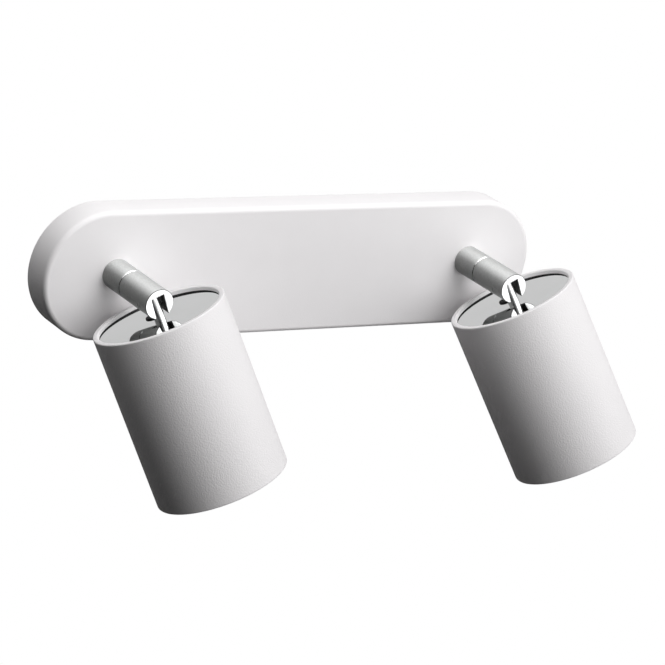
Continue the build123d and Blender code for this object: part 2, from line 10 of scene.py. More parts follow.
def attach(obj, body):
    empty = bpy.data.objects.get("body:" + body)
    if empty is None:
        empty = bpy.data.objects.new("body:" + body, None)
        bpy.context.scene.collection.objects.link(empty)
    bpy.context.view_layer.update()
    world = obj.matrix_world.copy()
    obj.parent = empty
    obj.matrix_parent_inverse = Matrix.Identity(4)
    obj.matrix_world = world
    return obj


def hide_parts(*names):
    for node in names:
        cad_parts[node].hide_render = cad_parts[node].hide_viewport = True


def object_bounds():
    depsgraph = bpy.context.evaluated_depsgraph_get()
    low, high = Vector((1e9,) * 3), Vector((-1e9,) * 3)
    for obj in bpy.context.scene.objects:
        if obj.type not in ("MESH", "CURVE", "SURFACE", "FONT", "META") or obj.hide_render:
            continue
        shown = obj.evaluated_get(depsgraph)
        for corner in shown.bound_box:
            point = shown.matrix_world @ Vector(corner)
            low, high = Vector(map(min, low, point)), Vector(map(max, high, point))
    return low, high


bl_info = {
    "name": "Twin Wall Spotlight Bar",
    "version": (1, 0, 0),
    "blender": (4, 5, 0),
    "location": "3D View > Sidebar > Spotlight",
    "description": "Dresses a wall bar with two swivelling, tilting lamp heads and sets up its studio",
    "category": "Object",
}

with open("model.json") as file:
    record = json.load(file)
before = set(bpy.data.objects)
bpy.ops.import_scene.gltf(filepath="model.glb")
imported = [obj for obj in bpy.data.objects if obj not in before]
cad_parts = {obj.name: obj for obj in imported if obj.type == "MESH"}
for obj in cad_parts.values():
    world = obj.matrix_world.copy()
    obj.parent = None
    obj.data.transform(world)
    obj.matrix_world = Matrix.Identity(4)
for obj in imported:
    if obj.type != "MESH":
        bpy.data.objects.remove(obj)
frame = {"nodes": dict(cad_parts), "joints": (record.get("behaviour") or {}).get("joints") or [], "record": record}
cad_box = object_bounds()
joints = {joint["name"]: joint for joint in frame["joints"]}
SIDES = ("left", "right")
HANDS = (-1, 1)
MM = 0.001
# Points closer together than the first are merged, and a point is looked for within the second
SAME_POINT = 0.0005 * MM
NEAR_POINT = 0.001 * MM
# Steps round the turned pieces, and round each half turn of the cover and the tongue
STUD_STEPS = 32
PIN_STEPS = 48
SCREW_STEPS = 64
GROMMET_STEPS = 96
LAMP_STEPS = 96
LENS_STEPS = 128
ARM_STEPS = 128
HEAD_STEPS = 180
FLOOR_STEPS = 96
COVER_STEPS = 72
TONGUE_STEPS = 36
# Steps along the lamp's flare, and steps round it from one flute to the next
FLARE_STEPS = 12
FLUTE_STEPS = 4
# How far the fork's cutter reaches past the slot's floor, and the air round pins and bushes in their holes
OVERCUT = 0.05 * MM
PIN_AIR = 0.02 * MM
EYE_AIR = 0.05 * MM
BUSH_AIR = 0.01 * MM
# Roundings of turned and moulded edges
SCREW_POINT = 0.5 * MM
SCREW_RIM = 0.06 * MM
GROMMET_ENTRY = 0.4 * MM
GROMMET_EDGE = 0.3 * MM
GROMMET_CROWN = 0.6 * MM
GROMMET_EXIT = 0.5 * MM
SPIGOT_EDGE = 0.4 * MM
SEAM_EDGE = 0.05 * MM
TURNED_EDGE = 0.08 * MM
PIN_EDGE = 0.12 * MM
SEAL_EDGE = 0.12 * MM
BUSH_ENTRY = 0.25 * MM
BUSH_CROWN = 0.3 * MM
BUSH_RIM = 0.1 * MM
BUSH_END = 0.2 * MM
LAMP_EDGE = 0.5 * MM
LAMP_LIP = 0.4 * MM
LENS_EDGE = 0.2 * MM
# The finishes of an arm, and where they change: depth of its end, shares of its radius, slopes along it
# The fourth finish is near-black nickel, painted shade inside the fork and round its end face
SATIN, BRIGHT, FACED, PAINTED_SHADE = range(4)
END_DEPTH = 0.1 * MM
ARM_RIM = 0.9
ARM_SKIN = 0.93
LEAST_SLOPE = 0.4
MOST_SLOPE = 0.9
# The part of a noise's range that a finish is spread over
NOISE_REACH = (0.3, 0.7)
# Width of the camera's film in millimetres
FILM_WIDTH = 36.0


# Frames of the wall, of each arm and of each head
def wall_place():
    """The wall plane: local X along the bar, local Y up, local Z out of the wall."""
    return Matrix(((1, 0, 0, 0), (0, 0, -1, 0), (0, 1, 0, 0), (0, 0, 0, 1)))


def arm_place(side):
    """The foot of an arm on the cover: local X along the hinge pin, local Z out of the wall."""
    swivel = joints[f"swivel_{side}"]
    across = -Vector(joints[f"tilt_{side}"]["axis"])
    out = Vector(swivel["axis"])
    place = Matrix((across, out.cross(across), out)).transposed().to_4x4()
    place.translation = swivel["pos_m"]
    return place


def pin_place(side):
    """The middle of a hinge pin: local Z along the pin."""
    place = arm_place(side)
    place.translation = joints[f"tilt_{side}"]["pos_m"]
    return place @ Matrix.Rotation(pi / 2, 4, "Y")


def head_place(side):
    """The middle of a hinge pin: local X along the pin, local Z along the head to its mouth."""
    tilt = joints[f"tilt_{side}"]
    place = arm_place(side)
    place.translation = tilt["pos_m"]
    return place @ Matrix.Rotation(pi / 2 + radians(tilt["range_deg"][0]), 4, "X")


def bush_place(side):
    """The middle of a wire bush in the rear disc."""
    return head_place(side) @ Matrix.Translation((0, (bush_low.y + bush_high.y) / 2, 0))


def screw_seat(sizes, hand):
    """Where a cover screw enters the cover's underside, in the wall's frame, with local Z outwards."""
    middle = (hand * sizes.screw_spacing / 2, cover_low.y, (screw_low.z + screw_high.z) / 2)
    return Matrix.Translation(middle) @ Matrix.Rotation(pi / 2, 4, "X")


def extent(node, place):
    """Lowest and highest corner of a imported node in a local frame."""
    back = place.inverted()
    points = [back @ vertex.co for vertex in frame["nodes"][node].data.vertices]
    low = Vector([min(axis) for axis in zip(*points)])
    high = Vector([max(axis) for axis in zip(*points)])
    return low, high


cover_low, cover_high = extent("base_cover", wall_place())
screw_low, screw_high = extent("cover_screws", wall_place())
grommet_low, grommet_high = extent("cable_grommet", wall_place())
stub_low, stub_high = extent("arm_stub_left", arm_place("left"))
stop_low, stop_high = extent("stop_pin_left", arm_place("left"))
sleeve_low, sleeve_high = extent("arm_sleeve_left", arm_place("left"))
pin_low, pin_high = extent("hinge_pin_left", pin_place("left"))
tube_low, tube_high = extent("head_tube_left", head_place("left"))
disc_low, disc_high = extent("rear_disc_left", head_place("left"))
seal_low, seal_high = extent("seal_ring_left", head_place("left"))
ring_low, ring_high = extent("retaining_ring_left", head_place("left"))
tongue_low, tongue_high = extent("hinge_tongue_left", head_place("left"))
bush_low, bush_high = extent("wire_bush_left", head_place("left"))
lamp_low, lamp_high = extent("lamp_body_left", head_place("left"))
lens_low, lens_high = extent("lamp_lens_left", head_place("left"))
pivot_out = (Vector(joints["tilt_left"]["pos_m"]) - Vector(joints["swivel_left"]["pos_m"])).length
arm_spacing = 2 * Vector(joints["swivel_right"]["pos_m"]).x
arm_rise = Vector(joints["swivel_left"]["pos_m"]).z


# Settings that a user would change
def length(name, description, default):
    """A size setting in scene units."""
    return FloatProperty(name=name, description=description, default=default, unit="LENGTH", precision=5)


def colour(name, description, default):
    """A finish colour setting."""
    return FloatVectorProperty(
        name=name, description=description, default=default, subtype="COLOR", size=3, min=0.0, max=1.0
    )


def power(name, description, default):
    """A lamp power setting."""
    return FloatProperty(name=name, description=description, default=default, unit="POWER", min=0.0)


def angle(name, description, default):
    """An angle setting, its default in degrees."""
    return FloatProperty(name=name, description=description, default=radians(default), subtype="ANGLE")


def position(name, description, default):
    """A place setting in scene units."""
    return FloatVectorProperty(
        name=name, description=description, default=default, size=3, subtype="TRANSLATION", unit="LENGTH",
        precision=5
    )


class SpotlightSizes(bpy.types.PropertyGroup):
    cover_length: length("Cover length", "Overall length of the wall cover", cover_high.x - cover_low.x)
    cover_height: length("Cover height", "Overall height of the wall cover", cover_high.y - cover_low.y)
    cover_depth: length("Cover depth", "How far the cover stands off the wall", cover_high.z)
    cover_wall: length("Cover wall", "Sheet thickness of the cover", 1.2 * MM)
    cover_edge: length("Cover edge", "Radius of the cover's front edge", 2.2 * MM)
    cover_hem: length("Cover hem", "Rounding of the cover's edge on the wall", 0.3 * MM)
    arm_hole: length("Arm hole", "Radius of the cover's hole for an arm", 5.2 * MM)
    screw_hole: length("Screw hole", "Radius of the cover's hole for a screw", 1.95 * MM)
    screw_head: length("Screw head", "Radius of a cover screw's countersunk head", 2.9 * MM)
    screw_shank: length("Screw shank", "Radius of a cover screw's thread", 1.75 * MM)
    screw_spacing: length("Screw spacing", "Between the two cover screws", 90.0 * MM)
    driver_slot: length("Driver slot", "Width of a cover screw's slot", 0.6 * MM)
    driver_depth: length("Driver depth", "Depth of a cover screw's slot", 0.7 * MM)
    grommet_bore: length("Grommet bore", "Inner radius of the cable grommet", 5.5 * MM)
    grommet_sleeve: length("Grommet sleeve", "Radius of the grommet in the bracket", 7.99 * MM)
    grommet_flange: length("Grommet flange", "Height of the grommet's flange", 1.2 * MM)
    arm_radius: length("Arm radius", "Outer radius of the arms", stub_high.x)
    seam_chamfer: length("Seam chamfer", "Chamfer on both sides of the swivel seam", 0.3 * MM)
    end_chamfer: length("End chamfer", "Chamfer round the fork's end", 0.3 * MM)
    spigot_radius: length("Spigot radius", "Radius of the arm's threaded spigot", 5.0 * MM)
    wire_bore: length("Wire bore", "Radius of the wire channel in the arm", 2.6 * MM)
    bolt_bore: length("Bolt bore", "Radius of the swivel bolt's bore", 4.05 * MM)
    bolt_depth: length("Bolt depth", "Depth of the swivel bolt's thread in the stub", 8.6 * MM)
    chamber_radius: length("Chamber radius", "Radius of the bolt head's chamber in the sleeve", 5.6 * MM)
    chamber_web: length("Chamber web", "Thickness of the sleeve's floor at the seam", 3.15 * MM)
    stop_room: length("Stop room", "Room round the stop pin in its groove", 0.1 * MM)
    slot_width: length("Slot width", "Width of the fork's slot", 6.3 * MM)
    slot_reach: length("Slot reach", "From the hinge pin to the slot's closed ends", 3.75 * MM)
    slot_edge: length("Slot edge", "Bevel along the fork's slot", 0.12 * MM)
    pin_radius: length("Pin radius", "Radius of the hinge pin", 1.5 * MM)
    pin_dome: length("Pin dome", "Height of the domes on the hinge pin's ends", 0.15 * MM)
    pin_crown: length("Pin crown", "How far the domes stay short of the hinge pin's ends", 0.03 * MM)
    tongue_thickness: length("Tongue thickness", "Thickness of the hinge tongue", 3.6 * MM)
    tongue_eye: length("Tongue eye", "Radius of the tongue's round end", -tongue_low.z)
    tongue_edge: length("Tongue edge", "Rounding of the tongue's edges", 1.4 * MM)
    foot_corner: length("Foot corner", "Rounding of the tongue foot's corners", 2.0 * MM)
    foot_edge: length("Foot edge", "Rounding of the tongue foot's edges", 0.2 * MM)
    foot_stud_spacing: length("Foot stud spacing", "Between the studs that hold the tongue", 17.0 * MM)
    strip_stud_spacing: length("Strip stud spacing", "Between the studs of the lamp bracket", 44.11 * MM)
    strip_stud_end: length("Strip stud end", "Height of the lamp bracket's studs on the disc", 4.4 * MM)
    stud_radius: length("Stud radius", "Radius of the studs on the rear disc", 1.5 * MM)
    stud_hole: length("Stud hole", "Radius of the stud holes in the tongue's foot", 1.7 * MM)
    disc_thickness: length("Disc thickness", "Thickness of the rear disc", 1.2 * MM)
    disc_edge: length("Disc edge", "Rounding of the rear disc's polished edge", 0.25 * MM)
    disc_slot_room: length("Disc slot room", "Room round the tongue in the rear disc", 0.05 * MM)
    head_radius: length("Head radius", "Outer radius of the lamp heads", tube_high.x)
    head_bore: length("Head bore", "Inner radius of the lamp heads", seal_high.x + 0.05 * MM)
    lip_radius: length("Lip radius", "Inner radius of the head's rear lip", 27.5 * MM)
    rim_round: length("Rim round", "Rounding of the head's rims", 0.6 * MM)
    groove_room: length("Groove room", "Room round the retaining ring in its groove", 0.05 * MM)
    seal_inner: length("Seal inner radius", "Inner radius of the seal ring", 27.8 * MM)
    bush_radius: length("Bush radius", "Outer radius of the wire bush's sleeve", 2.6 * MM)
    bush_bore: length("Bush bore", "Inner radius of the wire bush", 1.8 * MM)
    bush_flange: length("Bush flange", "Thickness of the wire bush's flange", 0.6 * MM)
    neck_radius: length("Lamp neck radius", "Radius of the lamp's neck", 15.0 * MM)
    neck_length: length("Lamp neck length", "Length of the lamp's neck", 9.0 * MM)
    rim_length: length("Lamp rim length", "Length of the lamp's straight rim", 7.0 * MM)
    rim_width: length("Lamp rim width", "Width of the lamp's rim round the lens", 2.2 * MM)
    flute_depth: length("Lamp flute depth", "Depth of the flutes between the lamp's fins", 1.0 * MM)
    lens_thickness: length("Lens thickness", "Thickness of the lamp lens at its edge", 1.2 * MM)
    lens_air: length("Lens air", "Air between the lamp lens and the lamp's body", 0.1 * MM)
    lens_ridge: length("Lens ridge", "Depth of the lens's moulded rings", 0.2 * MM)
    lens_rings: IntProperty(name="Lens rings", description="Moulded rings on the lens", default=12, min=1)


class SpotlightColours(bpy.types.PropertyGroup):
    # The cover and the heads share one white coat: the cover's colour is painted lighter and the heads' darker, as
    # painted light and shade
    painted_light_cover_coat: colour("Cover coat", "Smooth powder coat on the cover", (0.93, 0.912, 0.921))
    head_coat: colour("Head coat", "Grained powder coat on the heads", (0.84, 0.823, 0.831))
    nickel: colour("Satin nickel", "Plating of the arms and hinge pins", (0.54, 0.545, 0.54))
    # Near-black: painted shade inside the fork and round its end face
    painted_shade_nickel: colour("Dull nickel", "Thin plating inside the fork", (0.10, 0.10, 0.10))
    chrome: colour("Polished chrome", "Rear discs and hinge tongues", (0.72, 0.725, 0.725))
    zinc: colour("Zinc steel", "Bracket, nuts and screws", (0.60, 0.61, 0.63))
    brass: colour("Brass", "Terminals and contacts", (0.78, 0.60, 0.30))
    rubber: colour("Black rubber", "Seals and grommet", (0.018, 0.018, 0.019))
    black_plastic: colour("Black plastic", "Washers and bushes", (0.028, 0.028, 0.029))
    white_plastic: colour("White plastic", "Terminal block and lamp body", (0.83, 0.83, 0.81))
    ceramic: colour("White ceramic", "Lamp holder", (0.86, 0.85, 0.81))
    glass: colour("Lamp glass", "Front lens of the lamps", (0.92, 0.93, 0.93))
    floor: colour("Floor", "Studio floor", (0.80, 0.80, 0.79))
    card: colour("Dark card", "Cards that darken the mirrored room", (0.03, 0.03, 0.03))
    pale_card: colour("Pale card", "Card that the rear discs mirror", (0.685, 0.685, 0.685))
    grey_card: colour("Grey card", "Card that the arms mirror", (0.33, 0.33, 0.33))


class SpotlightStudio(bpy.types.PropertyGroup):
    camera_place: position("Camera place", "Where the camera stands", (-0.871974, -1.260864, 0.487188))
    camera_yaw: angle("Camera yaw", "Turn of the view to the right", 35.777)
    camera_pitch: angle("Camera pitch", "Lift of the view", -18.666)
    camera_roll: angle("Camera roll", "Roll of the view", 10.036)
    camera_lens: FloatProperty(
        name="Camera lens", description="Focal length in millimetres", default=192.093, min=1.0
    )
    lamp_distance: length("Lamp distance", "From the bar to each soft box", 3.0)
    lamp_size: length("Lamp size", "Side of each soft box", 2.8)
    key_power: power("Key lamp", "Soft box on the right", 73.0)
    top_power: power("Top lamp", "Soft box overhead", 33.0)
    side_power: power("Side lamp", "Soft box low on the right", 28.0)
    back_power: power("Back lamp", "Soft box high behind the bar on the left", 35.0)
    ambient: FloatProperty(
        name="Ambient", description="Strength of the room's own light", default=0.0, min=0.0
    )
    floor_drop: length("Floor drop", "How far the floor lies below the bar", 2.0)
    floor_ahead: length("Floor ahead", "How far the floor's middle lies in front of the wall", 0.3)
    floor_radius: length("Floor radius", "Radius of the studio floor", 1.0)
    card_height: length("Card height", "Height of the dark cards", 2.4)
    card_drop: length("Card drop", "How far the dark cards' middle lies below the bar", 0.4)
    card_left: length("Card on the left", "How far the dark cards reach to the left", 1.3)
    card_right: length("Card on the right", "How far the card behind the bar reaches to the right", 1.3)
    low_right: length("Low card end", "How far the card below the bar reaches to the right", 0.38)
    card_behind: length("Card behind", "How far one card stands behind the bar", 0.7)
    card_front: length("Card front", "How far the left card reaches into the room", 2.0)
    pale_place: position("Pale card place", "Middle of the card for the rear discs", (0.146, 0.36, 0.073))
    pale_width: length("Pale card width", "Width of the pale card", 0.5)
    pale_height: length("Pale card height", "Height of the pale card", 0.3)
    pale_lean: angle("Pale card lean", "How far the pale card leans back towards the lamps", 35.0)
    grey_place: position("Grey card place", "Middle of the card for the arms", (-0.5, 0.65, -0.15))
    grey_width: length("Grey card width", "Width of the grey card", 0.8)
    grey_height: length("Grey card height", "Height of the grey card", 0.9)


# Modelling by hand, step by step
def start_piece(name):
    """One vertex at the origin, in edit mode, as a new piece."""
    bpy.ops.object.select_all(action="DESELECT")
    bpy.ops.mesh.primitive_plane_add(size=MM, location=(0, 0, 0))
    piece = bpy.context.object
    piece.name = name
    bpy.ops.object.mode_set(mode="EDIT")
    bpy.ops.mesh.select_mode(type="VERT")
    bpy.ops.mesh.select_all(action="SELECT")
    bpy.ops.mesh.merge(type="CENTER")
    return piece


def move_to(here, there):
    """Moves the selected vertex from one point to another."""
    bpy.ops.transform.translate(value=Vector(there) - Vector(here))


def extrude_by(step):
    """Extrudes the selection by a step."""
    bpy.ops.mesh.extrude_region_move(TRANSFORM_OT_translate={"value": step})


def sweep_half_turn(steps, centre, axis):
    """Sweeps the selected vertex through half a turn, right-handed about an axis."""
    bpy.ops.mesh.spin(steps=steps, angle=-pi, center=centre, axis=axis)


def pick(piece, kind, test):
    """Selects the vertices, edges or faces whose corner points all pass a test."""
    bpy.ops.mesh.select_mode(type=kind)
    bpy.ops.mesh.select_all(action="DESELECT")
    mesh = bmesh.from_edit_mesh(piece.data)
    if kind == "VERT":
        for vertex in mesh.verts:
            vertex.select = test(vertex.co)
    else:
        for item in mesh.edges if kind == "EDGE" else mesh.faces:
            item.select = all(test(vertex.co) for vertex in item.verts)
    mesh.select_flush_mode()
    bmesh.update_edit_mesh(piece.data)


def near(point):
    """A test for the place of one vertex."""
    return lambda co: (co - Vector(point)).length < NEAR_POINT


def finish_mesh():
    """Merges doubles, turns the faces outwards and leaves edit mode."""
    bpy.ops.mesh.select_mode(type="VERT")
    bpy.ops.mesh.select_all(action="SELECT")
    bpy.ops.mesh.remove_doubles(threshold=SAME_POINT)
    bpy.ops.mesh.normals_make_consistent(inside=False)
    bpy.ops.object.mode_set(mode="OBJECT")


def turn(name, outline, steps, closed=True):
    """Turns an outline of (radius, height, rounding) about local Z, as on a lathe."""
    piece = start_piece(name)
    here = Vector((0, 0, 0))
    for index, (radius, height, _) in enumerate(outline):
        there = Vector((radius, 0, height))
        if index == 0:
            move_to(here, there)
        else:
            extrude_by(there - here)
        here = there
    if closed:
        first = Vector((outline[0][0], 0, outline[0][1]))
        pick(piece, "VERT", lambda co: near(first)(co) or near(here)(co))
        bpy.ops.mesh.edge_face_add()
    for radius, height, rounding in outline:
        if rounding > 0:
            pick(piece, "VERT", near((radius, 0, height)))
            bpy.ops.mesh.bevel(offset=rounding, segments=5, affect="VERTICES")
    bpy.ops.mesh.select_all(action="SELECT")
    bpy.ops.mesh.spin(steps=steps, angle=2 * pi, center=(0, 0, 0), axis=(0, 0, 1))
    finish_mesh()
    return piece


def obround(name, overall, height, steps):
    """The wire outline of a bar with round ends, in edit mode."""
    reach = (overall - height) / 2
    piece = start_piece(name)
    move_to((0, 0, 0), (reach, -height / 2, 0))
    sweep_half_turn(steps, (reach, 0, 0), (0, 0, 1))
    pick(piece, "VERT", near((reach, height / 2, 0)))
    extrude_by((-2 * reach, 0, 0))
    sweep_half_turn(steps, (-reach, 0, 0), (0, 0, 1))
    bpy.ops.mesh.select_all(action="SELECT")
    bpy.ops.mesh.remove_doubles(threshold=SAME_POINT)
    return piece


def use(piece):
    """Makes a piece the only selected and the active one."""
    bpy.ops.object.select_all(action="DESELECT")
    piece.select_set(True)
    bpy.context.view_layer.objects.active = piece


def add_block(low, high):
    """A box between two corners."""
    bpy.ops.object.select_all(action="DESELECT")
    middle = (Vector(low) + Vector(high)) / 2
    bpy.ops.mesh.primitive_cube_add(size=1, location=middle, scale=Vector(high) - Vector(low))
    bpy.ops.object.transform_apply(location=True, rotation=True, scale=True)
    return bpy.context.object


def round_corners(box, radius):
    """Rounds the four upright edges of a box."""
    bpy.ops.object.mode_set(mode="EDIT")
    bpy.ops.mesh.select_mode(type="EDGE")
    bpy.ops.mesh.select_all(action="DESELECT")
    mesh = bmesh.from_edit_mesh(box.data)
    for edge in mesh.edges:
        edge.select = abs(edge.verts[0].co.z - edge.verts[1].co.z) > NEAR_POINT
    bmesh.update_edit_mesh(box.data)
    bpy.ops.mesh.bevel(offset=radius, segments=6, affect="EDGES")
    bpy.ops.object.mode_set(mode="OBJECT")


def add_rod(radius, low, high, steps=SCREW_STEPS):
    """A round bar between two points."""
    bpy.ops.object.select_all(action="DESELECT")
    along = Vector(high) - Vector(low)
    bpy.ops.mesh.primitive_cylinder_add(
        vertices=steps, radius=radius, depth=along.length, location=(Vector(low) + Vector(high)) / 2,
        rotation=along.to_track_quat("Z", "Y").to_euler()
    )
    bpy.ops.object.transform_apply(location=True, rotation=True, scale=True)
    return bpy.context.object


def combine(piece, tool, operation):
    """Cuts a tool out of a piece, or joins it on, and removes the tool."""
    use(piece)
    bpy.ops.object.modifier_add(type="BOOLEAN")
    modifier = piece.modifiers[-1]
    modifier.operation = operation
    modifier.solver = "MANIFOLD"
    modifier.object = tool
    bpy.ops.object.modifier_apply(modifier=modifier.name)
    bpy.data.objects.remove(tool)


def soften(piece, width, segments, sharper_than):
    """Bevels the edges sharper than an angle in degrees."""
    use(piece)
    bpy.ops.object.modifier_add(type="BEVEL")
    modifier = piece.modifiers[-1]
    modifier.width = width
    modifier.segments = segments
    modifier.limit_method = "ANGLE"
    modifier.angle_limit = radians(sharper_than)
    bpy.ops.object.modifier_apply(modifier=modifier.name)


def smooth(piece, up_to=30):
    """Smooth shading across all but the sharp edges."""
    use(piece)
    bpy.ops.object.shade_smooth_by_angle(angle=radians(up_to))


def mark_turning(piece):
    """A map of the lathe's marks on a turned piece: U along its outline, V round its axis."""
    layer = piece.data.uv_layers.new(name="turning")
    for face in piece.data.polygons:
        middle = Vector(face.center.to_2d())
        for loop in face.loop_indices:
            point = piece.data.vertices[piece.data.loops[loop].vertex_index].co
            radius = point.to_2d().length
            turned = middle.angle_signed(point.to_2d(), 0) if min(radius, middle.length) > 0 else 0
            layer.data[loop].uv = ((2 * point.z + radius) / MM, turned)


def copy_of(piece, name):
    """A copy with a mesh of its own."""
    copy = piece.copy()
    copy.data = piece.data.copy()
    copy.name = name
    bpy.context.collection.objects.link(copy)
    return copy


def place_piece(piece, place):
    """Moves a piece, with the place kept in its mesh."""
    use(piece)
    piece.matrix_world = place
    bpy.ops.object.transform_apply(location=True, rotation=True, scale=True)


def settle(piece, name, place, body, slot, finishes, *nodes):
    """Puts a finished piece in its place on its body, with its finishes, for the nodes it stands for."""
    place_piece(piece, place)
    piece.name = name
    piece.data.materials.clear()
    for finish in finishes:
        piece.data.materials.append(finish_for(finish))
    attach(piece, body)
    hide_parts(*nodes)


def settle_pair(piece, name, place, body, slot, *finishes):
    """One modelled piece for the left and a copy of it for the right, both returned."""
    pair = (piece, copy_of(piece, f"{name}_right_dressed"))
    for side, item in zip(SIDES, pair):
        node = f"{name}_{side}"
        settle(item, f"{node}_dressed", place(side), body.format(side), slot, finishes, node)
    return pair


def share_finishes(pair, finish_at):
    """Gives each face the finish for its height and radius on the arm and its slope along it."""
    for side, piece in zip(SIDES, pair):
        place = arm_place(side)
        out = place.to_3x3().col[2]
        for face in piece.data.polygons:
            reach = face.center - place.translation
            along = out.dot(reach)
            face.material_index = finish_at(along, (reach - along * out).length, out.dot(face.normal))


def keep_from_mirrors(piece):
    """Keeps a piece out of mirror images, so that the rear discs show the arms alone."""
    piece.visible_glossy = False


# Finishes
class Finish:
    """Adds procedural nodes to one material."""

    def __init__(self, material):
        self.tree = material.node_tree
        self.shader = self.tree.nodes["Principled BSDF"]
        self.coordinates = self.tree.nodes.new("ShaderNodeTexCoord").outputs["Object"]

    def set(self, name, value):
        """A constant, straight on the shader's own socket."""
        self.shader.inputs[name].default_value = value

    def add(self, kind, **constants):
        """A new node with constants on its own sockets."""
        node = self.tree.nodes.new(kind)
        for name, value in constants.items():
            node.inputs[name.replace("_", " ")].default_value = value
        return node

    def noise(self, scale, detail=2.0, stretch=(1, 1, 1)):
        """Noise in the object's coordinates, its scale in cells per metre."""
        mapping = self.add("ShaderNodeMapping", Scale=stretch)
        noise = self.add("ShaderNodeTexNoise", Scale=scale, Detail=detail)
        self.tree.links.new(self.coordinates, mapping.inputs["Vector"])
        self.tree.links.new(mapping.outputs["Vector"], noise.inputs["Vector"])
        return noise.outputs["Fac"]

    def roughen(self, factor, low, high):
        """Spreads a noise between two values of the roughness."""
        least, most = NOISE_REACH
        spread = self.add("ShaderNodeMapRange", From_Min=least, From_Max=most, To_Min=low, To_Max=high)
        self.tree.links.new(factor, spread.inputs["Value"])
        self.tree.links.new(spread.outputs["Result"], self.shader.inputs["Roughness"])

    def tint(self, factor, colour, shade):
        """Mixes the base colour with a shade of itself."""
        ramp = self.add("ShaderNodeValToRGB")
        for element, position, share in zip(ramp.color_ramp.elements, NOISE_REACH, (shade, 1)):
            element.position = position
            element.color = (*[part * share for part in colour], 1)
        self.tree.links.new(factor, ramp.inputs["Fac"])
        self.tree.links.new(ramp.outputs["Color"], self.shader.inputs["Base Color"])

    def follow(self, layer):
        """Runs the metal's grain along a map of the mesh."""
        tangent = self.add("ShaderNodeTangent")
        tangent.direction_type = "UV_MAP"
        tangent.uv_map = layer
        self.tree.links.new(tangent.outputs["Tangent"], self.shader.inputs["Tangent"])

    def bump(self, height, distance):
        """Raises the surface by a noise."""
        bump = self.add("ShaderNodeBump", Strength=1.0, Distance=distance)
        self.tree.links.new(height, bump.inputs["Height"])
        self.tree.links.new(bump.outputs["Normal"], self.shader.inputs["Normal"])


def finish_for(build):
    """The material of one finish, built when it is first asked for."""
    name = f"{build.__name__}_finish"
    material = bpy.data.materials.get(name)
    if material is None:
        material = bpy.data.materials.new(name)
        material.use_nodes = True
        build(Finish(material), bpy.context.scene.spotlight_colours)
    return material


def coat(finish, colour, grain):
    """White powder coat whose grain is this deep."""
    finish.tint(finish.noise(60), colour, shade=0.985)
    finish.set("Specular IOR Level", 0.35)
    finish.roughen(finish.noise(900), low=0.46, high=0.56)
    finish.bump(finish.noise(1450), grain)


def painted_light_cover_coat(finish, colours):
    """Smooth white powder coat, its colour painted lighter to stand in for light on the cover."""
    coat(finish, colours.painted_light_cover_coat, grain=0.03 * MM)


def head_coat(finish, colours):
    """White powder coat with a fine even grain, its colour painted darker to stand in for shade on the heads."""
    coat(finish, colours.head_coat, grain=0.13 * MM)


def satin_nickel(finish, colours):
    """Satin nickel that scatters part of the light, with fine turning marks round the arm."""
    turning = finish.noise(1.0, detail=3.0, stretch=(90, 6000, 90))
    finish.set("Metallic", 0.6)
    finish.set("Anisotropic", 0.8)
    finish.tint(finish.noise(1300, detail=3.0), colours.nickel, shade=0.86)
    finish.roughen(turning, low=0.48, high=0.58)
    finish.bump(turning, 0.001 * MM)
    finish.follow("turning")


def metal(finish, colour, clouds, shade, marks, low, high, detail=3.0):
    """Metal with clouds of a darker shade, and with fine marks that spread its roughness."""
    finish.set("Metallic", 1.0)
    finish.tint(finish.noise(clouds), colour, shade)
    finish.roughen(finish.noise(marks, detail), low, high)


def bright_cut(finish, colours):
    """Nickel cut bright with a sharp tool."""
    metal(finish, colours.chrome, clouds=300, shade=0.95, marks=900, low=0.16, high=0.24)


def faced_nickel(finish, colours):
    """Nickel on the bright end face of the fork."""
    metal(finish, colours.chrome, clouds=300, shade=0.97, marks=900, low=0.40, high=0.50)


def painted_shade_nickel(finish, colours):
    """Near-black nickel as painted shade inside the fork and round its end face."""
    metal(finish, colours.painted_shade_nickel, clouds=900, shade=0.8, marks=900, low=0.45, high=0.6)


def brushed_chrome(finish, colours):
    """Chrome that has been brushed before plating."""
    metal(finish, colours.chrome, clouds=300, shade=0.95, marks=900, low=0.26, high=0.36)


def polished_chrome(finish, colours):
    """Polished chrome with faint handling marks."""
    metal(finish, colours.chrome, clouds=70, shade=0.975, marks=160, low=0.02, high=0.05, detail=4.0)


def zinc_steel(finish, colours):
    """Zinc plate with a faint spangle."""
    metal(finish, colours.zinc, clouds=220, shade=0.82, marks=500, low=0.30, high=0.46, detail=2.0)
    finish.bump(finish.noise(900), 0.003 * MM)


def brass(finish, colours):
    """Brass that has begun to dull."""
    metal(finish, colours.brass, clouds=400, shade=0.80, marks=700, low=0.24, high=0.42, detail=2.0)


def moulded(finish, colour, low, high, grain):
    """A moulded or fired material with a fine grain."""
    finish.tint(finish.noise(250), colour, shade=0.93)
    finish.roughen(finish.noise(600), low, high)
    finish.bump(finish.noise(grain, detail=3.0), 0.006 * MM)


def black_rubber(finish, colours):
    """Dull rubber."""
    moulded(finish, colours.rubber, low=0.62, high=0.78, grain=2500)


def black_plastic(finish, colours):
    """Low-friction moulded plastic."""
    moulded(finish, colours.black_plastic, low=0.40, high=0.52, grain=1800)


def white_plastic(finish, colours):
    """Moulded plastic of the terminals and lamps."""
    moulded(finish, colours.white_plastic, low=0.34, high=0.46, grain=1600)


def white_ceramic(finish, colours):
    """Fired ceramic of the lamp holders."""
    moulded(finish, colours.ceramic, low=0.28, high=0.44, grain=1200)


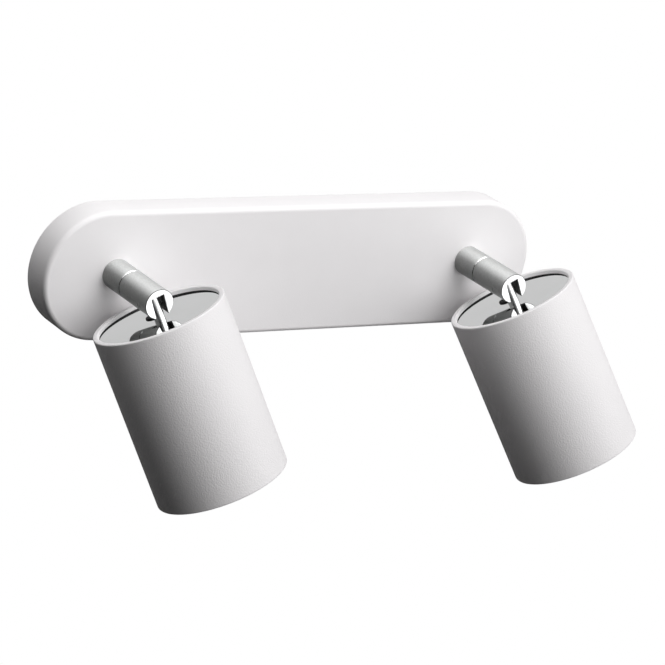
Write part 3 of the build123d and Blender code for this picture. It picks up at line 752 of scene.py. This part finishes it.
def lamp_glass(finish, colours):
    """Frosted lamp glass."""
    finish.set("Transmission Weight", 0.85)
    finish.set("IOR", 1.5)
    finish.tint(finish.noise(80), colours.glass, shade=0.98)
    finish.roughen(finish.noise(500), low=0.22, high=0.32)


def matt(finish, colour, clouds, shade, roughness):
    """A matt studio surface with slight clouding."""
    finish.tint(finish.noise(clouds), colour, shade)
    finish.set("Roughness", roughness)


def pale_floor(finish, colours):
    """The studio's floor."""
    matt(finish, colours.floor, clouds=3, shade=0.98, roughness=0.8)


def dark_card(finish, colours):
    """Black card."""
    matt(finish, colours.card, clouds=4, shade=0.9, roughness=0.9)


def pale_card(finish, colours):
    """Pale card."""
    matt(finish, colours.pale_card, clouds=4, shade=0.98, roughness=0.9)


def grey_card(finish, colours):
    """Grey card."""
    matt(finish, colours.grey_card, clouds=4, shade=0.95, roughness=0.9)


SLOT_FINISHES = {
    "white_coat": painted_light_cover_coat,
    "satin_nickel": satin_nickel,
    "polished_chrome": polished_chrome,
    "zinc_steel": zinc_steel,
    "brass": brass,
    "black_rubber": black_rubber,
    "black_plastic": black_plastic,
    "white_plastic": white_plastic,
    "white_ceramic": white_ceramic,
    "lamp_glass": lamp_glass,
}


class SPOTLIGHT_OT_inner_pieces(bpy.types.Operator):
    """Give the pieces that stay as packed their finishes"""

    bl_idname = "spotlight.inner_pieces"
    bl_label = "Inner Pieces"

    def execute(self, context):
        for part in frame["record"]["subparts"]:
            node = frame["nodes"][part["node"]]
            node.data.materials.clear()
            node.data.materials.append(finish_for(SLOT_FINISHES[part["material_slot"]]))
            keep_from_mirrors(node)
        return {"FINISHED"}


class SPOTLIGHT_OT_base_cover(bpy.types.Operator):
    """Model the coated cover on the wall"""

    bl_idname = "spotlight.base_cover"
    bl_label = "Base Cover"

    def execute(self, context):
        sizes = context.scene.spotlight_sizes
        cover = obround("base_cover", sizes.cover_length, sizes.cover_height, COVER_STEPS)
        bpy.ops.mesh.edge_face_add()
        extrude_by((0, 0, sizes.cover_depth))
        pick(cover, "EDGE", lambda co: co.z > sizes.cover_depth / 2)
        bpy.ops.mesh.bevel(offset=sizes.cover_edge, segments=10, affect="EDGES")
        pick(cover, "FACE", lambda co: co.z < NEAR_POINT)
        bpy.ops.mesh.delete(type="ONLY_FACE")
        finish_mesh()
        bpy.ops.object.modifier_add(type="SOLIDIFY")
        modifier = cover.modifiers[-1]
        modifier.thickness = sizes.cover_wall
        modifier.offset = -1
        modifier.use_even_offset = True
        bpy.ops.object.modifier_apply(modifier=modifier.name)
        soften(cover, sizes.cover_hem, segments=3, sharper_than=60)
        for hand in HANDS:
            foot = Vector((hand * arm_spacing / 2, arm_rise, 0))
            reach = Vector((0, 0, 2 * sizes.cover_depth))
            combine(cover, add_rod(sizes.arm_hole, foot, foot + reach), "DIFFERENCE")
            combine(cover, self.add_sink(sizes, hand), "DIFFERENCE")
        smooth(cover)
        settle(cover, "base_cover_dressed", wall_place(), "base", "white_coat", [painted_light_cover_coat], "base_cover")
        keep_from_mirrors(cover)
        return {"FINISHED"}

    def add_sink(self, sizes, hand):
        """The countersunk hole of a cover screw, as a tool to cut with."""
        deep = -2 * sizes.cover_wall
        outline = [
            (0, deep, 0),
            (sizes.screw_hole, deep, 0),
            (sizes.screw_hole, sizes.screw_hole - sizes.screw_head, 0),
            (sizes.screw_head, 0, 0),
            (sizes.screw_head, MM, 0),
            (0, MM, 0),
        ]
        sink = turn("screw_sink", outline, SCREW_STEPS, closed=False)
        place_piece(sink, screw_seat(sizes, hand))
        return sink


class SPOTLIGHT_OT_cover_screws(bpy.types.Operator):
    """Turn the countersunk cover screws and cut their slots"""

    bl_idname = "spotlight.cover_screws"
    bl_label = "Cover Screws"

    def execute(self, context):
        sizes = context.scene.spotlight_sizes
        tip = screw_low.y - screw_high.y
        outline = [
            (0, tip, 0),
            (sizes.screw_shank, tip, SCREW_POINT),
            (sizes.screw_shank, sizes.screw_shank - sizes.screw_head, 0),
            (sizes.screw_head, 0, SCREW_RIM),
            (0, 0, 0),
        ]
        screw = turn("cover_screw", outline, SCREW_STEPS, closed=False)
        reach = 2 * sizes.screw_head
        half = sizes.driver_slot / 2
        combine(screw, add_block((-reach, -half, -sizes.driver_depth), (reach, half, MM)), "DIFFERENCE")
        smooth(screw)
        for side, hand, piece in zip(SIDES, HANDS, (screw, copy_of(screw, "cover_screw_right"))):
            place = wall_place() @ screw_seat(sizes, hand)
            name = f"cover_screw_{side}_dressed"
            settle(piece, name, place, "base", "zinc_steel", [zinc_steel], "cover_screws")
        return {"FINISHED"}


class SPOTLIGHT_OT_cable_grommet(bpy.types.Operator):
    """Turn the grommet of the cable entry"""

    bl_idname = "spotlight.cable_grommet"
    bl_label = "Cable Grommet"

    def execute(self, context):
        sizes = context.scene.spotlight_sizes
        seat = grommet_high.z - sizes.grommet_flange
        outline = [
            (sizes.grommet_bore, grommet_low.z, GROMMET_ENTRY),
            (sizes.grommet_sleeve, grommet_low.z, GROMMET_EDGE),
            (sizes.grommet_sleeve, seat, 0),
            (grommet_high.x, seat, GROMMET_EDGE),
            (grommet_high.x, grommet_high.z, GROMMET_CROWN),
            (sizes.grommet_bore, grommet_high.z, GROMMET_EXIT),
        ]
        grommet = turn("cable_grommet", outline, GROMMET_STEPS)
        smooth(grommet)
        name = "cable_grommet"
        settle(grommet, f"{name}_dressed", wall_place(), "base", "black_rubber", [black_rubber], name)
        return {"FINISHED"}


class SPOTLIGHT_OT_arm_stubs(bpy.types.Operator):
    """Turn the fixed stubs that carry the arms"""

    bl_idname = "spotlight.arm_stubs"
    bl_label = "Arm Stubs"

    def execute(self, context):
        sizes = context.scene.spotlight_sizes
        top = stub_high.z
        thread_end = top - sizes.bolt_depth
        outline = [
            (sizes.wire_bore, stub_low.z, 0),
            (sizes.spigot_radius, stub_low.z, SPIGOT_EDGE),
            (sizes.spigot_radius, 0, 0),
            (sizes.arm_radius, 0, TURNED_EDGE),
            (sizes.arm_radius, top - sizes.seam_chamfer, TURNED_EDGE),
            (sizes.arm_radius - sizes.seam_chamfer, top, SEAM_EDGE),
            (sizes.bolt_bore, top, 0),
            (sizes.bolt_bore, thread_end, 0),
            (sizes.wire_bore, thread_end, 0),
        ]
        stub = turn("arm_stub", outline, ARM_STEPS)
        smooth(stub)
        mark_turning(stub)
        pair = settle_pair(stub, "arm_stub", arm_place, "base", "satin_nickel", satin_nickel, bright_cut)
        share_finishes(pair, self.finish_at)
        return {"FINISHED"}

    def finish_at(self, along, from_axis, slope):
        """The bright cut on the seam's chamfer, and satin elsewhere."""
        chamfered = from_axis > ARM_RIM * stub_high.x and LEAST_SLOPE < slope < MOST_SLOPE
        return BRIGHT if chamfered else SATIN


class SPOTLIGHT_OT_arm_sleeves(bpy.types.Operator):
    """Turn the arm sleeves and mill the fork into them"""

    bl_idname = "spotlight.arm_sleeves"
    bl_label = "Arm Sleeves"

    def execute(self, context):
        sizes = context.scene.spotlight_sizes
        base = sleeve_low.z
        end = sleeve_high.z
        radius = sizes.arm_radius
        slot_floor = pivot_out - sizes.slot_reach
        stop_circle = hypot((stop_low.x + stop_high.x) / 2, (stop_low.y + stop_high.y) / 2)
        stop_half = (stop_high.x - stop_low.x) / 2 + sizes.stop_room
        stop_top = stop_high.z + sizes.stop_room
        outline = [
            (0, slot_floor, 0),
            (sizes.chamber_radius, slot_floor, 0),
            (sizes.chamber_radius, base + sizes.chamber_web, 0),
            (sizes.bolt_bore, base + sizes.chamber_web, 0),
            (sizes.bolt_bore, base, 0),
            (stop_circle - stop_half, base, 0),
            (stop_circle - stop_half, stop_top, 0),
            (stop_circle + stop_half, stop_top, 0),
            (stop_circle + stop_half, base, 0),
            (radius - sizes.seam_chamfer, base, SEAM_EDGE),
            (radius, base + sizes.seam_chamfer, TURNED_EDGE),
            (radius, end - sizes.end_chamfer, TURNED_EDGE),
            (radius - sizes.end_chamfer, end, TURNED_EDGE),
            (0, end, 0),
        ]
        sleeve = turn("arm_sleeve", outline, ARM_STEPS, closed=False)
        half = sizes.slot_width / 2
        low = (-half, -2 * radius, slot_floor - OVERCUT)
        combine(sleeve, add_block(low, (half, sizes.slot_reach, end + MM)), "DIFFERENCE")
        ends = [Vector((hand * 2 * radius, 0, pivot_out)) for hand in HANDS]
        combine(sleeve, add_rod(sizes.pin_radius + PIN_AIR, *ends), "DIFFERENCE")
        soften(sleeve, sizes.slot_edge, segments=2, sharper_than=50)
        smooth(sleeve)
        mark_turning(sleeve)
        finishes = (satin_nickel, bright_cut, faced_nickel, painted_shade_nickel)
        pair = settle_pair(sleeve, "arm_sleeve", arm_place, "arm_{}", "satin_nickel", *finishes)
        share_finishes(pair, self.finish_at)
        return {"FINISHED"}

    def finish_at(self, along, from_axis, slope):
        """Bright on the seam's chamfer and the fork's end face, painted shade round it and inside, else satin."""
        if from_axis > ARM_RIM * sleeve_high.x and LEAST_SLOPE < abs(slope) < MOST_SLOPE:
            return BRIGHT if slope < 0 else PAINTED_SHADE
        if along > sleeve_high.z - END_DEPTH and slope > MOST_SLOPE:
            return FACED
        return PAINTED_SHADE if from_axis < ARM_SKIN * sleeve_high.x else SATIN


class SPOTLIGHT_OT_hinge_pins(bpy.types.Operator):
    """Turn the hinge pins with their domed ends"""

    bl_idname = "spotlight.hinge_pins"
    bl_label = "Hinge Pins"

    def execute(self, context):
        sizes = context.scene.spotlight_sizes
        half = pin_high.z
        shoulder = half - sizes.pin_dome
        crown = half - sizes.pin_crown
        outline = [
            (0, -crown, 0),
            (sizes.pin_radius, -shoulder, PIN_EDGE),
            (sizes.pin_radius, shoulder, PIN_EDGE),
            (0, crown, 0),
        ]
        pin = turn("hinge_pin", outline, PIN_STEPS, closed=False)
        smooth(pin)
        mark_turning(pin)
        settle_pair(pin, "hinge_pin", pin_place, "arm_{}", "satin_nickel", satin_nickel)
        return {"FINISHED"}


class SPOTLIGHT_OT_hinge_tongues(bpy.types.Operator):
    """Model the hinge tongues with their round eyes and feet"""

    bl_idname = "spotlight.hinge_tongues"
    bl_label = "Hinge Tongues"

    def execute(self, context):
        sizes = context.scene.spotlight_sizes
        half = sizes.tongue_thickness / 2
        eye = sizes.tongue_eye
        tongue = start_piece("hinge_tongue")
        move_to((0, 0, 0), (-half, -eye, 0))
        sweep_half_turn(TONGUE_STEPS, (-half, 0, 0), (1, 0, 0))
        pick(tongue, "VERT", lambda co: abs(co.y) > eye - NEAR_POINT and abs(co.z) < NEAR_POINT)
        extrude_by((0, 0, tongue_high.z - sizes.foot_edge))
        bpy.ops.mesh.edge_face_add()
        bpy.ops.mesh.select_all(action="SELECT")
        bpy.ops.mesh.edge_face_add()
        extrude_by((2 * half, 0, 0))
        finish_mesh()
        soften(tongue, sizes.tongue_edge, segments=5, sharper_than=50)
        combine(tongue, self.add_foot(sizes), "UNION")
        ends = [Vector((hand * 2 * half, 0, 0)) for hand in HANDS]
        combine(tongue, add_rod(sizes.pin_radius + EYE_AIR, *ends), "DIFFERENCE")
        smooth(tongue)
        settle_pair(tongue, "hinge_tongue", head_place, "head_{}", "polished_chrome", brushed_chrome)
        return {"FINISHED"}

    def add_foot(self, sizes):
        """The foot behind the rear disc, with holes for two of the disc's studs."""
        bottom = disc_low.z + sizes.disc_thickness
        foot = add_block((tongue_low.x, tongue_low.y, bottom), tongue_high)
        round_corners(foot, sizes.foot_corner)
        soften(foot, sizes.foot_edge, segments=2, sharper_than=50)
        for hand in HANDS:
            low = Vector((hand * sizes.foot_stud_spacing / 2, 0, bottom - MM))
            high = Vector((low.x, 0, tongue_high.z + MM))
            combine(foot, add_rod(sizes.stud_hole, low, high, STUD_STEPS), "DIFFERENCE")
        return foot


class SPOTLIGHT_OT_rear_discs(bpy.types.Operator):
    """Turn the polished rear discs and add their slots, holes and studs"""

    bl_idname = "spotlight.rear_discs"
    bl_label = "Rear Discs"

    def execute(self, context):
        sizes = context.scene.spotlight_sizes
        rear = disc_low.z
        front = rear + sizes.disc_thickness
        outline = [
            (0, rear, 0),
            (disc_high.x, rear, sizes.disc_edge),
            (disc_high.x, front, TURNED_EDGE),
            (0, front, 0),
        ]
        disc = turn("rear_disc", outline, HEAD_STEPS, closed=False)
        across = sizes.tongue_thickness / 2 + sizes.disc_slot_room
        along = sizes.tongue_eye + sizes.disc_slot_room
        slot = add_block((-across, -along, rear - MM), (across, along, front + MM))
        round_corners(slot, sizes.tongue_edge + sizes.disc_slot_room)
        combine(disc, slot, "DIFFERENCE")
        bush_y = (bush_low.y + bush_high.y) / 2
        hole = add_rod(sizes.bush_radius + BUSH_AIR, (0, bush_y, rear - MM), (0, bush_y, front + MM))
        combine(disc, hole, "DIFFERENCE")
        strip_end = front + sizes.strip_stud_end
        for hand in HANDS:
            for x, y, end in (
                (hand * sizes.foot_stud_spacing / 2, 0, disc_high.z),
                (0, hand * sizes.strip_stud_spacing / 2, strip_end),
            ):
                stud = add_rod(sizes.stud_radius, (x, y, (rear + front) / 2), (x, y, end), STUD_STEPS)
                combine(disc, stud, "UNION")
        smooth(disc)
        settle_pair(disc, "rear_disc", head_place, "head_{}", "polished_chrome", polished_chrome)
        return {"FINISHED"}


class SPOTLIGHT_OT_seals_and_bushes(bpy.types.Operator):
    """Turn the seal rings round the rear discs and the wire bushes in them"""

    bl_idname = "spotlight.seals_and_bushes"
    bl_label = "Seals and Bushes"

    def execute(self, context):
        sizes = context.scene.spotlight_sizes
        seal = turn("seal_ring", [
            (sizes.seal_inner, seal_low.z, SEAL_EDGE),
            (seal_high.x, seal_low.z, SEAL_EDGE),
            (seal_high.x, seal_high.z, SEAL_EDGE),
            (sizes.seal_inner, seal_high.z, SEAL_EDGE),
        ], HEAD_STEPS)
        smooth(seal)
        settle_pair(seal, "seal_ring", head_place, "head_{}", "black_rubber", black_rubber)
        seat = bush_low.z + sizes.bush_flange
        bush = turn("wire_bush", [
            (sizes.bush_bore, bush_low.z, BUSH_ENTRY),
            (bush_high.x, bush_low.z, BUSH_CROWN),
            (bush_high.x, seat, BUSH_RIM),
            (sizes.bush_radius, seat, 0),
            (sizes.bush_radius, bush_high.z, BUSH_END),
            (sizes.bush_bore, bush_high.z, BUSH_END),
        ], PIN_STEPS)
        smooth(bush)
        settle_pair(bush, "wire_bush", bush_place, "head_{}", "black_rubber", black_rubber)
        return {"FINISHED"}


class SPOTLIGHT_OT_head_tubes(bpy.types.Operator):
    """Turn the coated lamp tubes with their rear lips"""

    bl_idname = "spotlight.head_tubes"
    bl_label = "Head Tubes"

    def execute(self, context):
        sizes = context.scene.spotlight_sizes
        groove = sizes.groove_room - ring_low.x
        groove_end = ring_high.z + sizes.groove_room
        outline = [
            (sizes.lip_radius, tube_low.z, sizes.rim_round),
            (sizes.head_radius, tube_low.z, sizes.rim_round),
            (sizes.head_radius, tube_high.z, sizes.rim_round),
            (sizes.head_bore, tube_high.z, sizes.rim_round),
            (sizes.head_bore, groove_end, 0),
            (groove, groove_end, 0),
            (groove, ring_low.z, 0),
            (sizes.head_bore, ring_low.z, 0),
            (sizes.head_bore, seal_low.z, 0),
            (sizes.lip_radius, seal_low.z, 0),
        ]
        tube = turn("head_tube", outline, HEAD_STEPS)
        smooth(tube)
        for piece in settle_pair(tube, "head_tube", head_place, "head_{}", "white_coat", head_coat):
            keep_from_mirrors(piece)
        return {"FINISHED"}


class SPOTLIGHT_OT_lamps(bpy.types.Operator):
    """Turn the lamps with their fluted bodies and ringed lenses"""

    bl_idname = "spotlight.lamps"
    bl_label = "Lamps"

    def execute(self, context):
        sizes = context.scene.spotlight_sizes
        body = self.turn_body(sizes)
        smooth(body)
        settle_pair(body, "lamp_body", head_place, "head_{}", "white_plastic", white_plastic)
        lens = self.turn_lens(sizes)
        smooth(lens, up_to=20)
        settle_pair(lens, "lamp_lens", head_place, "head_{}", "lamp_glass", lamp_glass)
        return {"FINISHED"}

    def turn_body(self, sizes):
        """A neck, a flare with flutes and a straight rim that holds the lens."""
        neck_end = lamp_low.z + sizes.neck_length
        flare_end = lamp_high.z - sizes.rim_length
        lens_edge = lamp_high.x - sizes.rim_width
        lens_seat = lens_low.z - sizes.lens_air
        flare = []
        for step in range(1, FLARE_STEPS):
            share = step / FLARE_STEPS
            swell = 1 - (1 - share) ** 2
            radius = sizes.neck_radius + (lamp_high.x - sizes.neck_radius) * swell
            flare.append((radius, neck_end + (flare_end - neck_end) * share, 0))
        outline = [
            (0, lamp_low.z, 0),
            (sizes.neck_radius, lamp_low.z, LAMP_EDGE),
            (sizes.neck_radius, neck_end, 0),
            *flare,
            (lamp_high.x, flare_end, 0),
            (lamp_high.x, lamp_high.z, LAMP_EDGE),
            (lens_edge, lamp_high.z, LAMP_LIP),
            (lens_edge, lens_seat, 0),
            (0, lens_seat, 0),
        ]
        body = turn("lamp_body", outline, LAMP_STEPS, closed=False)
        flute_low = flare[1][1] - NEAR_POINT
        flute_high = flare[-2][1] + NEAR_POINT
        bpy.ops.object.mode_set(mode="EDIT")
        bpy.ops.mesh.select_mode(type="FACE")
        bpy.ops.mesh.select_all(action="DESELECT")
        mesh = bmesh.from_edit_mesh(body.data)
        for face in mesh.faces:
            middle = face.calc_center_median()
            turned = middle.to_2d().angle_signed(Vector((1, 0)), 0) + pi
            sector = int(turned / (2 * pi) * LAMP_STEPS) % FLUTE_STEPS
            inside = all(flute_low < vertex.co.z < flute_high for vertex in face.verts)
            face.select = inside and 0 < sector < FLUTE_STEPS - 1
        bmesh.update_edit_mesh(body.data)
        bpy.ops.mesh.extrude_region_shrink_fatten(TRANSFORM_OT_shrink_fatten={"value": -sizes.flute_depth})
        finish_mesh()
        return body

    def turn_lens(self, sizes):
        """A shallow crown with moulded rings."""
        edge = lens_low.z + sizes.lens_thickness
        crown = lens_high.z - edge
        outline = [(0, lens_high.z - sizes.lens_ridge, 0)]
        for ring in range(1, 2 * sizes.lens_rings):
            share = ring / (2 * sizes.lens_rings)
            ridge = sizes.lens_ridge if ring % 2 == 0 else 0
            outline.append((lens_high.x * share, edge + crown * (1 - share ** 2) - ridge, 0))
        outline += [(lens_high.x, edge, LENS_EDGE), (lens_high.x, lens_low.z, 0), (0, lens_low.z, 0)]
        return turn("lamp_lens", outline, LENS_STEPS, closed=False)


class SPOTLIGHT_OT_stage(bpy.types.Operator):
    """Set up the floor, the cards, the white backdrop, the lamps and the camera"""

    bl_idname = "spotlight.stage"
    bl_label = "Stage"

    def execute(self, context):
        studio = context.scene.spotlight_studio
        self.add_floor(context)
        self.add_cards(context)
        self.add_world(context)
        for name, bearing, lift, watts in (
            ("key_lamp", 50, 50, studio.key_power),
            ("top_lamp", 25, 70, studio.top_power),
            ("side_lamp", 73, 11, studio.side_power),
            ("back_lamp", -110, 53, studio.back_power),
        ):
            self.add_lamp(context, name, radians(bearing), radians(lift), watts)
        self.add_camera(context)
        context.scene.view_settings.view_transform = "Standard"
        return {"FINISHED"}

    def add_floor(self, context):
        """A round pale floor under the bar."""
        studio = context.scene.spotlight_studio
        bpy.ops.object.select_all(action="DESELECT")
        bpy.ops.mesh.primitive_circle_add(
            vertices=FLOOR_STEPS, radius=studio.floor_radius, fill_type="NGON",
            location=(0, -studio.floor_ahead, -studio.floor_drop)
        )
        floor = context.object
        floor.name = "studio_floor"
        floor.data.materials.append(finish_for(pale_floor))

    def add_cards(self, context):
        """Dark cards behind, on the left and below, a pale one for the discs, a grey one for the arms."""
        studio = context.scene.spotlight_studio
        corner = Vector((-studio.card_left, studio.card_behind, -studio.card_drop))
        right = Vector((studio.card_right, corner.y, corner.z))
        front = Vector((corner.x, -studio.card_front, corner.z))
        foot = Vector((0, 0, studio.card_height / 2))
        upright = (pi / 2, 0, 0)
        sideways = (pi / 2, 0, -pi / 2)
        leaning = (pi / 2 - studio.pale_lean, 0, 0)
        back_size = (right.x - corner.x, studio.card_height)
        left_size = (corner.y - front.y, studio.card_height)
        low_size = (studio.low_right - corner.x, corner.y - front.y)
        pale_size = (studio.pale_width, studio.pale_height)
        grey_size = (studio.grey_width, studio.grey_height)
        low_end = Vector((studio.low_right, corner.y, corner.z))
        for name, middle, turned, size, finish in (
            ("back_card", (corner + right) / 2, upright, back_size, dark_card),
            ("left_card", (corner + front) / 2, sideways, left_size, dark_card),
            ("low_card", (front + low_end) / 2 - foot, (0, 0, 0), low_size, dark_card),
            ("pale_card", studio.pale_place, leaning, pale_size, pale_card),
            ("grey_card", studio.grey_place, upright, grey_size, grey_card),
        ):
            self.add_card(context, name, middle, turned, size, finish)

    def add_card(self, context, name, middle, turned, size, finish):
        """A card that the metal and the coat see and the camera doesn't."""
        bpy.ops.object.select_all(action="DESELECT")
        bpy.ops.mesh.primitive_grid_add(
            x_subdivisions=12, y_subdivisions=10, size=1, location=middle, rotation=turned
        )
        card = context.object
        card.name = name
        card.scale = (*size, 1)
        bpy.ops.object.transform_apply(location=True, rotation=True, scale=True)
        card.data.materials.append(finish_for(finish))
        card.visible_camera = False
        card.visible_shadow = False

    def add_world(self, context):
        """White where the camera, metal and glass see it, and no more light than the ambient setting."""
        world = bpy.data.worlds.new("studio_world")
        context.scene.world = world
        world.use_nodes = True
        nodes = world.node_tree.nodes
        links = world.node_tree.links
        ambient = nodes["Background"]
        ambient.inputs["Color"].default_value = (1, 1, 1, 1)
        ambient.inputs["Strength"].default_value = context.scene.spotlight_studio.ambient
        white = nodes.new("ShaderNodeBackground")
        white.inputs["Color"].default_value = (1, 1, 1, 1)
        white.inputs["Strength"].default_value = 1.0
        path = nodes.new("ShaderNodeLightPath")
        seen = path.outputs["Is Camera Ray"]
        for ray in ("Is Glossy Ray", "Is Transmission Ray"):
            either = nodes.new("ShaderNodeMath")
            either.operation = "MAXIMUM"
            links.new(seen, either.inputs[0])
            links.new(path.outputs[ray], either.inputs[1])
            seen = either.outputs[0]
        mix = nodes.new("ShaderNodeMixShader")
        links.new(seen, mix.inputs["Fac"])
        links.new(ambient.outputs["Background"], mix.inputs[1])
        links.new(white.outputs["Background"], mix.inputs[2])
        links.new(mix.outputs["Shader"], nodes["World Output"].inputs["Surface"])

    def add_lamp(self, context, name, bearing, lift, watts):
        """A soft box, its bearing counted to the right of the camera."""
        studio = context.scene.spotlight_studio
        middle = (Vector(cad_box[0]) + Vector(cad_box[1])) / 2
        towards = Vector((studio.camera_place[0], studio.camera_place[1], 0)).normalized()
        towards = Matrix.Rotation(bearing, 3, "Z") @ towards * cos(lift) + Vector((0, 0, sin(lift)))
        bpy.ops.object.light_add(
            type="AREA", location=middle + towards * studio.lamp_distance,
            rotation=(-towards).to_track_quat("-Z", "Y").to_euler()
        )
        lamp = context.object
        lamp.name = name
        lamp.data.size = studio.lamp_size
        lamp.data.energy = watts

    def add_camera(self, context):
        """The photograph's point of view."""
        studio = context.scene.spotlight_studio
        bpy.ops.object.camera_add()
        camera = context.object
        camera.name = "photo_camera"
        camera.data.sensor_width = FILM_WIDTH
        camera.data.lens = studio.camera_lens
        camera.matrix_world = (
            Matrix.Translation(studio.camera_place)
            @ Matrix.Rotation(-studio.camera_yaw, 4, "Z")
            @ Matrix.Rotation(pi / 2 + studio.camera_pitch, 4, "X")
            @ Matrix.Rotation(studio.camera_roll, 4, "Z")
        )
        context.scene.camera = camera


OPERATORS = (
    SPOTLIGHT_OT_inner_pieces,
    SPOTLIGHT_OT_base_cover,
    SPOTLIGHT_OT_cover_screws,
    SPOTLIGHT_OT_cable_grommet,
    SPOTLIGHT_OT_arm_stubs,
    SPOTLIGHT_OT_arm_sleeves,
    SPOTLIGHT_OT_hinge_pins,
    SPOTLIGHT_OT_hinge_tongues,
    SPOTLIGHT_OT_rear_discs,
    SPOTLIGHT_OT_seals_and_bushes,
    SPOTLIGHT_OT_head_tubes,
    SPOTLIGHT_OT_lamps,
    SPOTLIGHT_OT_stage,
)


class SPOTLIGHT_PT_panel(bpy.types.Panel):
    """Steps and settings of the wall spotlight"""

    bl_idname = "SPOTLIGHT_PT_panel"
    bl_label = "Wall Spotlight"
    bl_space_type = "VIEW_3D"
    bl_region_type = "UI"
    bl_category = "Spotlight"

    def draw(self, context):
        for operator in OPERATORS:
            self.layout.operator(operator.bl_idname)
        for group in ("spotlight_sizes", "spotlight_colours", "spotlight_studio"):
            settings = getattr(context.scene, group)
            box = self.layout.box()
            for name in settings.__annotations__:
                box.prop(settings, name)


CLASSES = (SpotlightSizes, SpotlightColours, SpotlightStudio, *OPERATORS, SPOTLIGHT_PT_panel)


def register():
    for item in CLASSES:
        bpy.utils.register_class(item)
    bpy.types.Scene.spotlight_sizes = PointerProperty(type=SpotlightSizes)
    bpy.types.Scene.spotlight_colours = PointerProperty(type=SpotlightColours)
    bpy.types.Scene.spotlight_studio = PointerProperty(type=SpotlightStudio)


def unregister():
    del bpy.types.Scene.spotlight_studio
    del bpy.types.Scene.spotlight_colours
    del bpy.types.Scene.spotlight_sizes
    for item in reversed(CLASSES):
        bpy.utils.unregister_class(item)


def main():
    register()
    bpy.ops.spotlight.inner_pieces()
    bpy.ops.spotlight.base_cover()
    bpy.ops.spotlight.cover_screws()
    bpy.ops.spotlight.cable_grommet()
    bpy.ops.spotlight.arm_stubs()
    bpy.ops.spotlight.arm_sleeves()
    bpy.ops.spotlight.hinge_pins()
    bpy.ops.spotlight.hinge_tongues()
    bpy.ops.spotlight.rear_discs()
    bpy.ops.spotlight.seals_and_bushes()
    bpy.ops.spotlight.head_tubes()
    bpy.ops.spotlight.lamps()
    bpy.ops.spotlight.stage()


if __name__ == "__main__":
    main()
